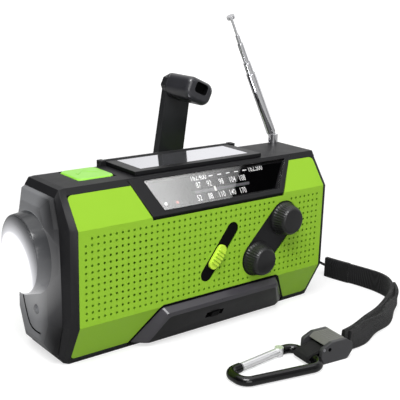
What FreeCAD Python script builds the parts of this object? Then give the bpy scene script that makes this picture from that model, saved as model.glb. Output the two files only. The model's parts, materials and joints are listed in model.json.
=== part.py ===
import FreeCAD, Part
import math
import os
import re

import Sketcher
from FreeCAD import Placement, Rotation, Vector

# A hand crank generator: an eight-sided case that lies along X and stands on
# its narrow bottom face. The front faces -Y, the torch is at -X, the strap
# and the aerial are at +X and the crank turns on the rear. The origin is the
# middle of the base face. All sizes are in millimetres.

SIZES = {
    # case
    "seam_x": 61.5, "rim_x": 77.3, "cap_plate": 1.7, "nose_depth": 4.5,
    "band_y": 24.0, "top_y": 13.1, "foot_y": 14.2,
    "top_z": 77.0, "fold_high": 61.5, "fold_low": 19.7,
    "skin": 1.2, "wall": 1.4, "deck_plate": 2.7, "panel_foot": 2.75,
    "fit": 0.1, "play": 0.3, "bearing": 0.05,
    "screw_x": 53.0, "screw_end_x": 74.0, "screw_low": 24.0, "screw_high": 56.0,
    "screw_shank": 1.2, "screw_head": 2.5, "screw_sink": 1.6, "post_radius": 3.0,
    # torch
    "lamp_z": 48.0, "lamp_bore": 16.0, "ring_root": 17.6, "ring_face": 16.8,
    "bezel_depth": 4.3, "ring_depth": 10.0, "lens_plate": 1.8, "lens_dome": 1.3,
    "reflector_depth": 17.0, "reflector_back": 4.0, "reflector_wall": 0.8,
    "led_board": 8.0, "led_dome": 2.4, "dome_y": 3.0, "dome_z": 23.5, "dome_radius": 2.0,
    # speaker and its grille
    "speaker_x": 34.84, "speaker_z": 40.28, "speaker_radius": 19.0, "speaker_mouth": 17.0,
    "magnet_radius": 9.0, "speaker_depth": 11.0, "hole_pitch": 2.92, "hole_radius": 0.5,
    # tuning dial on the front upper chamfer, measured up from the fold
    "dial_low_left": 25.3, "dial_low_right": 50.0, "dial_top_left": 31.8,
    "dial_top_right": 63.0, "dial_height": 18.3, "glass_low": 2.3, "glass_high": 16.9,
    "glass_low_left": 18.6, "glass_low_right": 48.4, "glass_top_left": 24.2,
    "glass_top_right": 58.9, "bezel_proud": 0.4, "glass_plate": 0.8, "scale_plate": 0.8,
    "pointer_x": 12.9, "pointer_row": 8.5, "pointer_low": 0.7, "pointer_high": 33.0,
    "pointer_width": 1.0,
    # knobs
    "tune_x": 51.0, "tune_z": 48.7, "volume_x": 34.5, "volume_z": 31.6,
    "pad_radius": 8.7, "pad_sink": 0.4, "knob_base": 8.3, "knob_skirt": 1.4,
    "knob_waist": 7.3, "knob_face": 6.4, "knob_length": 7.4, "knob_shaft": 3.0,
    "pot_side": 17.0, "pot_depth": 8.0,
    # band slider
    "slot_x": 11.7, "slot_z": 39.2, "slot_angle": 52.8, "slot_length": 30.7,
    "slot_width": 6.6, "cap_shift": 2.65, "cap_length": 12.4, "cap_width": 5.0,
    "cap_depth": 2.6, "stem_width": 1.2, "stem_length": 3.0, "switch_width": 9.0,
    # base block on the front lower chamfer, measured up the chamfer
    "block_low": 2.2, "block_high": 21.6, "block_face_low": 4.1, "block_face_high": 21.0,
    "block_low_left": 32.0, "block_low_right": 61.0, "block_high_left": 20.0,
    "block_high_right": 48.0, "block_face_low_left": 27.0, "block_face_low_right": 55.5,
    "block_face_high_left": 19.0, "block_face_high_right": 47.0, "block_depth": 4.6,
    "key_x": 10.0, "key_row": 12.6, "key_slot": 10.0, "key_width": 3.4, "key_length": 4.6,
    "key_sink": 2.6,
    # power button
    "button_x": 41.4, "button_y": 3.5, "button_side": 18.2, "button_proud": 0.6,
    "button_flange": 1.0, "button_stroke": 0.8, "spring_radius": 4.0, "spring_wire": 0.31,
    "spring_length": 6.5, "shelf_plate": 1.4,
    # solar lid
    "lid_left": 26.5, "lid_right": 46.0, "lid_front": 11.5, "hinge_y": 14.0, "hinge_z": 78.2,
    "hinge_radius": 1.3, "hinge_pin": 0.7, "ear_width": 2.6, "lid_plate": 1.9,
    "panel_left": 21.0, "panel_right": 41.0, "panel_front": 7.5, "panel_rear": 11.6,
    "panel_sink": 0.5, "lamp_left": 14.0, "lamp_right": 34.0, "lamp_half": 6.0,
    # crank
    "crank_x": 31.0, "crank_z": 59.0, "lean": 7.5, "turret_root": 17.0, "turret_face": 12.4,
    "turret_y": 35.6, "shaft_radius": 2.5, "hub_radius": 12.0, "hub_gap": 0.6,
    "hub_depth": 7.2, "arm_gap": 0.3, "arm_plate": 5.0, "arm_tip_plate": 3.6,
    "arm_width": 15.8, "arm_root_width": 8.0, "arm_start": 6.0, "arm_reach": 45.8,
    "fold_radius": 1.2, "cheek_plate": 2.6, "cheek_reach": 3.4, "head_length": 17.8,
    "head_width": 11.0, "grip_turn": 16.5, "grip_width": 17.0, "grip_height": 11.8,
    "grip_length": 18.0, "spindle": 2.0, "snap_head": 2.8, "snap_plate": 1.0,
    "recess_width": 8.0, "recess_height": 5.4, "recess_rise": 1.7, "recess_depth": 4.0,
    "cut_corner": 3.4,
    # generator train
    "tooth_size": 0.6, "drive_teeth": 40, "pinion_teeth": 10, "idler_teeth": 36,
    "gear_face": 3.0, "plate_y": 1.0, "gear_plate": 1.6, "stage_gap": 0.9,
    "idler_angle": 216.87, "rotor_angle": 233.13, "axle_radius": 1.0, "rotor_radius": 8.0,
    "rotor_length": 7.4, "air_gap": 0.4, "stator_wall": 2.6, "stator_length": 8.0,
    # aerial
    "aerial_x": 75.0, "aerial_y": 11.5, "aerial_z": 79.6, "aerial_lean": 27.0,
    "post_size": 2.4, "post_slot": 1.6, "post_top": 2.2, "post_shank": 1.25,
    "knuckle_radius": 1.9, "knuckle_reach": 3.7, "tube_a": 2.3, "tube_b": 1.88,
    "tube_c": 1.45, "tube_d": 1.05, "rod_radius": 0.62, "tube_wall": 0.34,
    "collar_a": 38.6, "collar_b": 44.7, "collar_c": 55.3, "collar_d": 59.8,
    "aerial_tip": 70.4, "tube_hidden": 23.5, "tip_radius": 2.0, "tip_plate": 1.6,
    # inside
    "board_y": 8.4, "board_plate": 1.6, "board_left": 12.0, "board_right": 69.0,
    "board_low": 21.0, "board_high": 71.0, "board_post": 2.2,
    "cell_radius": 9.2, "cell_length": 65.0, "cell_y": 6.5, "cell_left": 10.0,
    "battery_radius": 5.25, "battery_length": 44.5, "battery_pitch": 10.6, "battery_z": 10.9,
    "door_left": 60.0, "door_right": 12.0, "door_half": 12.6, "rod_ferrite": 3.4,
    "ferrite_length": 80.0, "ferrite_left": 22.0, "ferrite_y": 4.0,
    "port_x": 48.0, "port_z": 40.0, "port_width": 14.4, "port_height": 7.0,
    "port_depth": 12.0, "port_shell": 0.5, "flap_width": 19.0, "flap_height": 13.0,
    "flap_plate": 1.3, "flap_sink": 1.1,
    # strap, buckle and carabiner
    "eye_y": 4.0, "eye_z": 18.0, "eye_size": 5.0, "eye_depth": 3.0, "cord_radius": 0.7,
    "web_width": 11.0, "web_plate": 2.6, "buckle_x": 35.0, "buckle_y": 71.2,
    "buckle_length": 15.0, "buckle_width": 13.0, "buckle_height": 8.6, "buckle_turn": 7.0,
    "buckle_wall": 1.6, "hook_radius": 2.1, "hook_z": 2.3, "gate_radius": 1.8,
    "gate_x": 17.3, "gate_y": 60.1, "gate_length": 23.4,
}

FUNCTIONS_AND_UNITS = ("deg", "mm")

doc = FreeCAD.newDocument("HandCrankGenerator")
sheet = doc.addObject("Spreadsheet::Sheet", "Sizes")
for row, (alias, number) in enumerate(SIZES.items(), start=1):
    sheet.set(f"A{row}", alias)
    sheet.set(f"B{row}", str(number))
    sheet.setAlias(f"B{row}", alias)
doc.recompute()

nodes = {}


def bind(text):
    """Turn the names in a formula into references to the sheet."""
    return re.sub(r"\b(?!(?:deg|mm)\b)([a-z_]+)\b(?!\()", r"Sizes.\1", text)


def value(text):
    """The present number of a formula."""
    result = sheet.evalExpression(bind(text))
    return float(getattr(result, "Value", result))


def node(item, label):
    """Keep a finished piece under the name of its file."""
    item.Label = label
    nodes[label] = item
    return item


def place(item, base=("0", "0", "0"), axis=None, angle=None):
    """Set an item at a bound place, turned about an axis by a bound angle."""
    if axis:
        item.Placement = Placement(Vector(), Rotation(Vector(*axis), 30))
        item.setExpression("Placement.Rotation.Angle", bind(angle))
    for letter, text in zip("xyz", base):
        item.setExpression(f"Placement.Base.{letter}", bind(text))
    return item


def box(name, corner, size):
    item = doc.addObject("Part::Box", name)
    for side, text in zip(("Length", "Width", "Height"), size):
        item.setExpression(side, bind(text))
    return place(item, corner)


TURNS = {
    "x": ((0, 1, 0), "90"), "y": ((1, 0, 0), "-90"), "z": ((0, 0, 1), "0"),
    "-x": ((0, 1, 0), "-90"), "-y": ((1, 0, 0), "90"),
}


def rod(name, base, radius, length, along):
    item = doc.addObject("Part::Cylinder", name)
    item.setExpression("Radius", bind(radius))
    item.setExpression("Height", bind(length))
    axis, angle = TURNS[along]
    return place(item, base, axis, angle)


def fuse(name, *items):
    item = doc.addObject("Part::MultiFuse", name)
    item.Shapes = list(items)
    return item


def cut(name, base, *tools):
    item = doc.addObject("Part::Cut", name)
    item.Base = base
    item.Tool = tools[0] if len(tools) == 1 else fuse(f"{name}_tools", *tools)
    return item


def common(name, first, second):
    item = doc.addObject("Part::Common", name)
    item.Base = first
    item.Tool = second
    return item


def outline(body, name, plane, points, offset="0"):
    """A closed outline on one origin plane of a body, each corner bound."""
    sketch = body.newObject("Sketcher::SketchObject", name)
    origin = [item for item in body.Origin.OriginFeatures if item.Role == f"{plane}_Plane"]
    sketch.AttachmentSupport = [(origin[0], "")]
    sketch.MapMode = "FlatFace"
    sketch.setExpression("AttachmentOffset.Base.z", bind(offset))
    spots = [Vector(value(across), value(up), 0) for across, up in points]
    count = len(spots)
    for index in range(count):
        sketch.addGeometry(Part.LineSegment(spots[index], spots[(index + 1) % count]), False)
    for index in range(count):
        sketch.addConstraint(Sketcher.Constraint("Coincident", index, 2, (index + 1) % count, 1))
    for index, corner in enumerate(points):
        for kind, text in zip(("DistanceX", "DistanceY"), corner):
            number = value(text)
            row = sketch.addConstraint(Sketcher.Constraint(kind, -1, 1, index, 1, number))
            sketch.setExpression(f"Constraints[{row}]", bind(text))
    return sketch


def prism(name, plane, points, start, length):
    """A straight-sided solid: XY grows to +Z, XZ to +Y and YZ to +X."""
    body = doc.addObject("PartDesign::Body", name)
    offset = f"-({start})" if plane == "XZ" else start
    pad = body.newObject("PartDesign::Pad", f"{name}_pad")
    pad.Profile = outline(body, f"{name}_outline", plane, points, offset)
    pad.Reversed = plane == "XZ"
    pad.setExpression("Length", bind(length))
    body.Tip = pad
    return body


def loft(name, plane, sections):
    """A ruled solid through outlines that stand at bound offsets."""
    body = doc.addObject("PartDesign::Body", name)
    sketches = []
    for index, (offset, points) in enumerate(sections):
        sketches.append(outline(body, f"{name}_outline_{index}", plane, points, offset))
    feature = body.newObject("PartDesign::AdditiveLoft", f"{name}_loft")
    feature.Profile = sketches[0]
    feature.Sections = sketches[1:]
    feature.Ruled = True
    body.Tip = feature
    return body


SPINS = {
    "y": ((0, 0, 1), "0"), "-y": ((0, 0, 1), "180"), "x": ((0, 0, 1), "-90"),
    "-x": ((0, 0, 1), "90"), "z": ((1, 0, 0), "90"),
}


def turned(name, points, base, along):
    """A turned piece: each corner is (radius, distance along its axis)."""
    body = doc.addObject("PartDesign::Body", name)
    sketch = outline(body, f"{name}_outline", "XY", points)
    spin = body.newObject("PartDesign::Revolution", f"{name}_turn")
    spin.Profile = sketch
    spin.ReferenceAxis = (sketch, ["V_Axis"])
    spin.Angle = 360
    body.Tip = spin
    axis, angle = SPINS[along]
    return place(body, base, axis, angle)


def stadium(name, reach, radius, depth, base, angle):
    """A slot-shaped block that grows to +Y, its long axis turned up from X."""
    core = box(f"{name}_core", (f"-({reach}) / 2", "0", f"-({radius})"),
               (reach, depth, f"2 * ({radius})"))
    left = rod(f"{name}_left", (f"-({reach}) / 2", "0", "0"), radius, depth, "y")
    right = rod(f"{name}_right", (f"({reach}) / 2", "0", "0"), radius, depth, "y")
    return place(fuse(name, core, left, right), base, (0, -1, 0), angle)


def feature(name, shape):
    """A piece whose shape is worked out here from the sheet's numbers."""
    item = doc.addObject("Part::Feature", name)
    item.Shape = shape
    return item


def copies(name, shapes):
    return feature(name, Part.makeCompound(shapes))


# ---- the case section ------------------------------------------------------

UP = "atan((band_y - top_y) / (top_z - fold_high))"
LOW = "atan((band_y - foot_y) / fold_low)"
UP_TURN = "atan((top_z - fold_high) / (band_y - top_y))"
LOW_TURN = "acos(-(band_y - foot_y) / sqrt((band_y - foot_y)^2 + fold_low^2))"
UNDER = "(top_z - deck_plate)"
FLOOR = "(skin + wall)"
END = "(rim_x + cap_plate)"
NOSE = "(seam_x + nose_depth)"
INNER = "(band_y - skin - wall)"
LENGTH = "(seam_x + rim_x)"


def upper(height, inset="0"):
    """Half width of the upper chamfer at a height, set in square to it."""
    return f"(band_y - ({height} - fold_high) * tan({UP}) - ({inset}) / cos({UP}))"


def lower(height, inset="0"):
    return f"(foot_y + ({height}) * tan({LOW}) - ({inset}) / cos({LOW}))"


def high_fold(inset="0"):
    return f"(band_y - ({inset}))", f"(fold_high - ({inset}) * tan({UP} / 2))"


def low_fold(inset="0"):
    return f"(band_y - ({inset}))", f"(fold_low + ({inset}) * tan({LOW} / 2))"


def front(points):
    """The same corners on the -Y side."""
    return [(f"-({across})", up) for across, up in points]


inner_wall = [
    (lower(FLOOR, FLOOR), FLOOR),
    low_fold(FLOOR),
    high_fold(FLOOR),
    (upper(UNDER, FLOOR), UNDER),
]
under_skin = [
    (upper(UNDER, "skin"), UNDER),
    high_fold("skin"),
    low_fold("skin"),
    (lower("panel_foot", "skin"), "panel_foot"),
    (lower("panel_foot"), "panel_foot"),
    ("foot_y", "0"),
    ("0", "0"),
    ("0", FLOOR),
]
outer_wall = [
    (upper(UNDER), UNDER),
    high_fold(),
    low_fold(),
    ("foot_y", "0"),
    ("0", "0"),
    ("0", FLOOR),
]
panel_section = [
    (upper(UNDER), UNDER),
    high_fold(),
    low_fold(),
    (lower("panel_foot"), "panel_foot"),
    (lower("panel_foot", "skin"), "panel_foot"),
    low_fold("skin"),
    high_fold("skin"),
    (upper(UNDER, "skin"), UNDER),
]


def both_sides(half):
    """A whole outline from the corners of its +Y half, top to bottom."""
    return [(across, up) for across, up in half] + front(half)[::-1]


def on_upper(item):
    """Stand an item on the front upper chamfer, Y up the slope from the fold."""
    return place(item, ("0", "-band_y", "fold_high"), (1, 0, 0), UP_TURN)


def on_lower(item):
    """Stand an item on the front lower chamfer, Y up the slope from the foot."""
    return place(item, ("0", "-foot_y", "0"), (1, 0, 0), LOW_TURN)


# ---- shapes shared by several pieces ---------------------------------------

def dial_outline(grow):
    return [
        (f"-(dial_low_left + {grow})", "0"),
        (f"(dial_low_right + {grow})", "0"),
        (f"(dial_top_right + {grow})", f"(dial_height + {grow})"),
        (f"-(dial_top_left + {grow})", f"(dial_height + {grow})"),
    ]


def glass_outline(grow):
    return [
        (f"-(glass_low_left + {grow})", f"(glass_low - ({grow}))"),
        (f"(glass_low_right + {grow})", f"(glass_low - ({grow}))"),
        (f"(glass_top_right + {grow})", f"(glass_high + {grow})"),
        (f"-(glass_top_left + {grow})", f"(glass_high + {grow})"),
    ]


KNOB_PITCH = "sqrt((tune_x - volume_x)^2 + (tune_z - volume_z)^2)"
KNOB_ANGLE = "atan((tune_z - volume_z) / (tune_x - volume_x))"
KNOB_MIDDLE = ("(tune_x + volume_x) / 2", "(tune_z + volume_z) / 2")
PAD_Y = "(band_y - pad_sink)"
SLOT_REACH = "(slot_length - slot_width)"
SCREWS = [("-screw_x", "screw_low"), ("-screw_x", "screw_high"),
          ("screw_end_x", "screw_low"), ("screw_end_x", "screw_high")]
DOOR_SIZE = "(door_left - door_right)"


def knob_pad(name, grow, start, depth):
    base = (KNOB_MIDDLE[0], f"-({start})", KNOB_MIDDLE[1])
    return stadium(name, KNOB_PITCH, f"pad_radius + {grow}", depth, base, KNOB_ANGLE)


def slider_pad(name, grow, start, depth):
    base = ("slot_x", f"-({start})", "slot_z")
    return stadium(name, SLOT_REACH, f"slot_width / 2 + {grow}", depth, base, "slot_angle")


# ---- front housing ---------------------------------------------------------

front_shell = prism("front_shell", "YZ", front(under_skin + inner_wall), "-seam_x", LENGTH)
front_posts = []
front_bores = []
for index, (across, up) in enumerate(SCREWS):
    front_posts.append(rod(f"front_post_{index}", (across, f"-({INNER} + 0.3)", up),
                           "post_radius", f"{INNER} + 0.3", "y"))
    front_bores.append(rod(f"front_bore_{index}", (across, "-12", up),
                           "screw_shank + bearing", "12", "y"))
BOARD_POSTS = [("-(board_left - 4)", "board_low + 5"), ("-(board_left - 4)", "screw_high + 2"),
               ("board_right - 4", "board_low + 5"), ("board_right - 4", "screw_high + 2")]
for index, (across, up) in enumerate(BOARD_POSTS):
    front_posts.append(rod(f"board_post_{index}", (across, f"-({INNER} + 0.3)", up),
                           "board_post", f"{INNER} + 0.3 - board_y - board_plate", "y"))
pads = [
    knob_pad("knob_pad", "0", PAD_Y, f"{PAD_Y} - {INNER} - 0.2"),
    slider_pad("slider_pad", "0", PAD_Y, f"{PAD_Y} - {INNER} - 0.2"),
]
mouth = rod("speaker_mouth_cut", ("-speaker_x", "-band_y - 1", "speaker_z"),
            "speaker_mouth", "skin + wall + 2", "y")
tuning_bush = rod("tuning_bush", ("tune_x", "-band_y - 1", "tune_z"),
                  "knob_shaft + bearing", "skin + wall + 2", "y")
volume_bush = rod("volume_bush", ("volume_x", "-band_y - 1", "volume_z"),
                  "knob_shaft + bearing", "skin + wall + 2", "y")
stem_slit = stadium("stem_slit", f"{SLOT_REACH} - cap_length + cap_width + stem_length",
                    "stem_width / 2 + play", "skin + wall + 2",
                    ("slot_x", "-band_y - 1", "slot_z"), "slot_angle")
scale_cut = on_upper(prism("scale_cut", "XY", glass_outline("-1"), f"-{FLOOR} - 2", "3 + wall"))
door_cut = box("door_cut", ("-door_left - fit", "-door_half - fit", "-1"),
               (f"{DOOR_SIZE} + 2 * fit", "2 * (door_half + fit)", f"{FLOOR} + 2"))
front_body = fuse("front_body", front_shell, *front_posts, *pads)
node(cut("front_housing", front_body, mouth, tuning_bush, volume_bush, stem_slit, scale_cut,
         door_cut, *front_bores), "front_housing")

# ---- green front panel with its grille -------------------------------------

panel_skin = prism("panel_skin", "YZ", front(panel_section), "-seam_x", LENGTH)
pitch = value("hole_pitch")
mouth_radius = value("speaker_mouth")
reach = int(mouth_radius // pitch)
grille = []
for column in range(-reach, reach + 1):
    for line in range(-reach, reach + 1):
        if math.hypot(column * pitch, line * pitch) < mouth_radius - value("hole_radius"):
            centre = Vector(column * pitch - value("speaker_x"), -value("band_y") - 1,
                            line * pitch + value("speaker_z"))
            grille.append(Part.makeCylinder(value("hole_radius"), value("skin") + 2, centre,
                                            Vector(0, 1, 0)))
panel_cuts = [
    copies("grille_holes", grille),
    on_upper(prism("dial_cut", "XY", dial_outline("fit"), f"-{FLOOR}", f"{FLOOR} + 2")),
    knob_pad("knob_pad_cut", "fit", "band_y + 1", "skin + 2"),
    slider_pad("slider_pad_cut", "fit", "band_y + 1", "skin + 2"),
]
node(cut("front_panel", panel_skin, *panel_cuts), "front_panel")

# ---- rear housing and the crank turret on it -------------------------------

IDLER_X = "(crank_x + tooth_size * (drive_teeth + pinion_teeth) / 2 * cos(idler_angle))"
IDLER_Z = "(crank_z + tooth_size * (drive_teeth + pinion_teeth) / 2 * sin(idler_angle))"
ROTOR_REACH = "tooth_size * (idler_teeth + pinion_teeth) / 2"
ROTOR_X = f"({IDLER_X} + {ROTOR_REACH} * cos(rotor_angle))"
ROTOR_Z = f"({IDLER_Z} + {ROTOR_REACH} * sin(rotor_angle))"
CASE = [("0", "0"), ("foot_y", "0"), low_fold(), high_fold(), ("top_y", "top_z"), ("0", "top_z")]
FLAP_X = "-(port_x + flap_width / 2)"
FLAP_Z = "port_z - flap_height / 2"

rear_shell = prism("rear_shell", "YZ", outer_wall + inner_wall, "-seam_x", LENGTH)
turret = turned("turret", [
    ("0", "top_y - 3"),
    ("turret_root", "top_y - 3"),
    ("turret_root", "top_y + 1"),
    ("turret_face", "turret_y"),
    ("0", "turret_y"),
], ("crank_x", "0", "crank_z"), "y")
case_core = prism("case_core", "YZ", CASE, "-seam_x", LENGTH)
rear_parts = [rear_shell]
rear_cuts = [door_cut]
for index, (across, up) in enumerate(SCREWS):
    rear_parts.append(rod(f"rear_post_{index}", (across, "0", up), "post_radius",
                          f"{INNER} + 0.3", "y"))
    rear_cuts.append(rod(f"rear_bore_{index}", (across, "-1", up), "screw_shank + fit",
                         "band_y + 2", "y"))
    rear_cuts.append(rod(f"rear_sink_{index}", (across, "band_y - screw_sink", up),
                         "screw_head + fit", "screw_sink + 1", "y"))
rear_parts += [
    rod("idler_boss", (IDLER_X, "14", IDLER_Z), "2.5 * axle_radius", f"{INNER} + 0.3 - 14", "y"),
    rod("stator_seat", (ROTOR_X, f"{INNER} - 1.4", ROTOR_Z),
        "rotor_radius + air_gap + stator_wall", "1.7", "y"),
]
rear_cuts += [
    rod("idler_bore", (IDLER_X, "13", IDLER_Z), "axle_radius + bearing", "4", "y"),
    rod("rotor_bore", (ROTOR_X, f"{INNER} - 2", ROTOR_Z), "axle_radius + bearing", "2", "y"),
    rod("shaft_bore", ("crank_x", "10", "crank_z"), "shaft_radius + bearing", "turret_y", "y"),
    box("port_cut", ("-(port_x + port_width / 2 + fit)", f"{INNER} - 1",
                     "port_z - port_height / 2 - fit"),
        ("port_width + 2 * fit", "skin + wall + 2", "port_height + 2 * fit")),
    box("flap_cut", (f"{FLAP_X} - play", "band_y - flap_sink", f"{FLAP_Z} - play"),
        ("flap_width + 2 * play", "flap_sink + 1", "flap_height + 2 * play")),
]
node(cut("rear_housing", fuse("rear_body", *rear_parts), *rear_cuts), "rear_housing")
turret_bore = rod("turret_bore", ("crank_x", "10", "crank_z"), "shaft_radius + bearing",
                  "turret_y", "y")
node(cut("crank_turret", turret, case_core, turret_bore), "crank_turret")

# ---- top deck, end cap and screws ------------------------------------------

BUTTON_LEFT = "-(button_x + button_side / 2)"
FLANGE_LOW = f"({UNDER} - 0.2 - button_flange)"
SHELF_TOP = f"({FLANGE_LOW} - spring_length)"
LEG_IN = "(button_side / 2 + 1 + play)"

deck_plate = prism("deck_slab", "YZ", [
    (f"-{upper(UNDER)}", UNDER),
    (upper(UNDER), UNDER),
    ("top_y", "top_z"),
    ("-top_y", "top_z"),
], "-seam_x", f"{LENGTH} + cap_plate")
shelf = box("button_shelf", (f"-(button_x + {LEG_IN} + shelf_plate)", "button_y - 4.5",
                             f"{SHELF_TOP} - shelf_plate"),
            (f"2 * ({LEG_IN} + shelf_plate)", "9", "shelf_plate"))
deck_parts = [deck_plate, shelf]
for name, left in (("left", f"-(button_x + {LEG_IN} + shelf_plate)"),
                   ("right", f"-(button_x - {LEG_IN})")):
    deck_parts.append(box(f"shelf_leg_{name}", (left, "button_y - 4.5", SHELF_TOP),
                          ("shelf_plate", "9", f"{UNDER} + 0.5 - {SHELF_TOP}")))
for name, left in (("left", "-(lid_left + play + ear_width)"), ("right", "lid_right + play")):
    deck_parts.append(box(f"hinge_ear_{name}", (left, "hinge_y - 2.4", "top_z - 1"),
                          ("ear_width", "3.8", "hinge_z + hinge_radius + 1 - top_z")))
deck_cuts = [
    on_upper(prism("dial_deck_cut", "XY", dial_outline("fit"), f"-{FLOOR}", f"{FLOOR} + 2")),
    box("button_cut", (f"{BUTTON_LEFT} - 0.15", "button_y - button_side / 2 - 0.15",
                       f"{UNDER} - 1"),
        ("button_side + 0.3", "button_side + 0.3", "deck_plate + 2")),
    box("lamp_cut", ("-lamp_left - fit", "-lamp_half - fit", "top_z - 1.2"),
        ("lamp_left + lamp_right + 2 * fit", "2 * (lamp_half + fit)", "2")),
    rod("hinge_bore", ("-(lid_left + ear_width + 2)", "hinge_y", "hinge_z"),
        "hinge_pin + bearing", "lid_left + lid_right + 2 * ear_width + 4", "x"),
    rod("aerial_bore", ("aerial_x", "aerial_y", f"{UNDER} - 1"), "post_shank + bearing",
        "deck_plate + 2", "z"),
]
node(cut("top_deck", fuse("deck_body", *deck_parts), *deck_cuts), "top_deck")

cap_slab = prism("cap_slab", "YZ", both_sides([
    (upper(UNDER), UNDER), high_fold(), low_fold(), ("foot_y", "0")]), "rim_x", "cap_plate")
eye = box("strap_eye", (END, "eye_y - eye_size / 2", "eye_z - eye_size / 2"),
          ("eye_depth", "eye_size", "eye_size"))
node(fuse("end_cap", cap_slab, eye), "end_cap")

screws = []
for index, (across, up) in enumerate(SCREWS):
    screws.append(rod(f"screw_shank_{index}", (across, "-9", up), "screw_shank",
                      "band_y + 9 - screw_sink", "y"))
    screws.append(rod(f"screw_head_{index}", (across, "band_y - screw_sink", up), "screw_head",
                      "screw_sink - fit", "y"))
node(fuse("case_screws", *screws), "case_screws")

# ---- torch -----------------------------------------------------------------

def nose_outline(inset):
    return both_sides([
        (f"(top_y - {inset})", f"(top_z - 3.1 - {inset})"),
        (f"(band_y - 7.4 - {inset})", "fold_high"),
        (f"(band_y - 5.8 - {inset})", "fold_low"),
        (f"(foot_y - 0.5 - {inset})", f"(4.5 + {inset})"),
    ])


frame_solid = loft("frame_solid", "YZ", [
    (f"-{NOSE}", nose_outline("0")),
    ("-(seam_x + 0.6 * nose_depth)", both_sides([
        ("top_y", "(top_z - 0.3)"), ("(band_y - 2.2)", "fold_high"),
        ("(band_y - 2)", "fold_low"), ("foot_y", "1.2")])),
    ("-seam_x", both_sides([
        ("top_y", "top_z"), high_fold(), low_fold(), ("foot_y", "0")])),
])
frame_bore = rod("frame_bore", (f"-{NOSE} - 1", "0", "lamp_z"), "lamp_bore + bearing",
                 "nose_depth + 2", "x")
node(cut("torch_frame", frame_solid, frame_bore), "torch_frame")

bezel_plate = loft("bezel_plate", "YZ", [
    (f"-({NOSE} + bezel_depth)", nose_outline("5")),
    (f"-({NOSE} + 2)", nose_outline("1")),
    (f"-{NOSE}", nose_outline("0.2")),
])
lens_ring = turned("lens_ring", [
    ("0", f"{NOSE} + 1"),
    ("ring_root", f"{NOSE} + 1"),
    ("ring_root", f"{NOSE} + bezel_depth"),
    ("ring_face", f"{NOSE} + ring_depth"),
    ("0", f"{NOSE} + ring_depth"),
], ("0", "0", "lamp_z"), "-x")
bezel_bore = rod("bezel_bore", (f"-{NOSE} + 1", "0", "lamp_z"), "lamp_bore + bearing",
                 "ring_depth + 3", "-x")
dome_bore = rod("dome_bore", (f"-{NOSE} + 1", "-dome_y", "dome_z"), "dome_radius + fit",
                "bezel_depth + 3", "-x")
node(cut("torch_bezel", fuse("bezel_body", bezel_plate, lens_ring), bezel_bore, dome_bore),
     "torch_bezel")

LENS_BACK = f"({NOSE} + ring_depth + 0.3 - lens_plate)"
node(turned("torch_lens", [
    ("0", LENS_BACK),
    ("lamp_bore", LENS_BACK),
    ("lamp_bore", f"{LENS_BACK} + lens_plate"),
    ("0.8 * lamp_bore", f"{LENS_BACK} + lens_plate + 0.6 * lens_dome"),
    ("0.4 * lamp_bore", f"{LENS_BACK} + lens_plate + lens_dome"),
    ("0", f"{LENS_BACK} + lens_plate + lens_dome"),
], ("0", "0", "lamp_z"), "-x"), "torch_lens")

REFLECTOR_BACK = f"({LENS_BACK} - reflector_depth)"
bowl = []
for share in (0.0, 0.12, 0.35, 0.65, 1.0):
    radius = f"(reflector_back + (lamp_bore - reflector_wall - reflector_back) * {share ** 0.5:.4f})"
    bowl.append((radius, f"({REFLECTOR_BACK} + reflector_depth * {share})"))
bowl_outside = [(f"({radius} + reflector_wall)", along) for radius, along in bowl]
node(turned("torch_reflector", bowl + bowl_outside[::-1], ("0", "0", "lamp_z"), "-x"),
     "torch_reflector")

node(fuse("torch_led",
          rod("led_plate", (f"-{REFLECTOR_BACK}", "0", "lamp_z"), "led_board", "1.2", "x"),
          rod("led_chip", (f"-{REFLECTOR_BACK}", "0", "lamp_z"), "led_dome", "1.4", "-x")),
     "torch_led")
node(turned("charge_lamp", [
    ("0", NOSE),
    ("dome_radius", NOSE),
    ("dome_radius", f"{NOSE} + bezel_depth"),
    ("0.7 * dome_radius", f"{NOSE} + bezel_depth + 0.35 * dome_radius"),
    ("0", f"{NOSE} + bezel_depth + 0.5 * dome_radius"),
], ("0", "-dome_y", "dome_z"), "-x"), "charge_lamp")

# ---- tuning dial -----------------------------------------------------------

bezel_slab = prism("dial_slab", "XY", dial_outline("0"), "-skin", "skin + bezel_proud")
glass_cut = prism("glass_cut", "XY", glass_outline("0"), "-skin - 1", "skin + bezel_proud + 2")
node(on_upper(cut("dial_bezel", bezel_slab, glass_cut)), "dial_bezel")
node(on_upper(prism("dial_window", "XY", glass_outline("-bearing"),
                    "bezel_proud - fit - glass_plate", "glass_plate")), "dial_window")
scale_slab = prism("scale_slab", "XY", glass_outline("-1 - fit"), f"-{FLOOR}", "scale_plate")
scale_slot = prism("scale_slot", "XY", [
    ("pointer_low - pointer_width", "pointer_row - pointer_width"),
    ("pointer_high + pointer_width", "pointer_row - pointer_width"),
    ("pointer_high + pointer_width", "pointer_row + pointer_width"),
    ("pointer_low - pointer_width", "pointer_row + pointer_width"),
], f"-{FLOOR} - 1", "scale_plate + 2")
node(on_upper(cut("dial_scale", scale_slab, scale_slot)), "dial_scale")


def pointer_block(name, half_along, half_up, start, length):
    return prism(name, "XY", [
        (f"pointer_x - {half_along}", f"pointer_row - {half_up}"),
        (f"pointer_x + {half_along}", f"pointer_row - {half_up}"),
        (f"pointer_x + {half_along}", f"pointer_row + {half_up}"),
        (f"pointer_x - {half_along}", f"pointer_row + {half_up}"),
    ], start, length)


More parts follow.
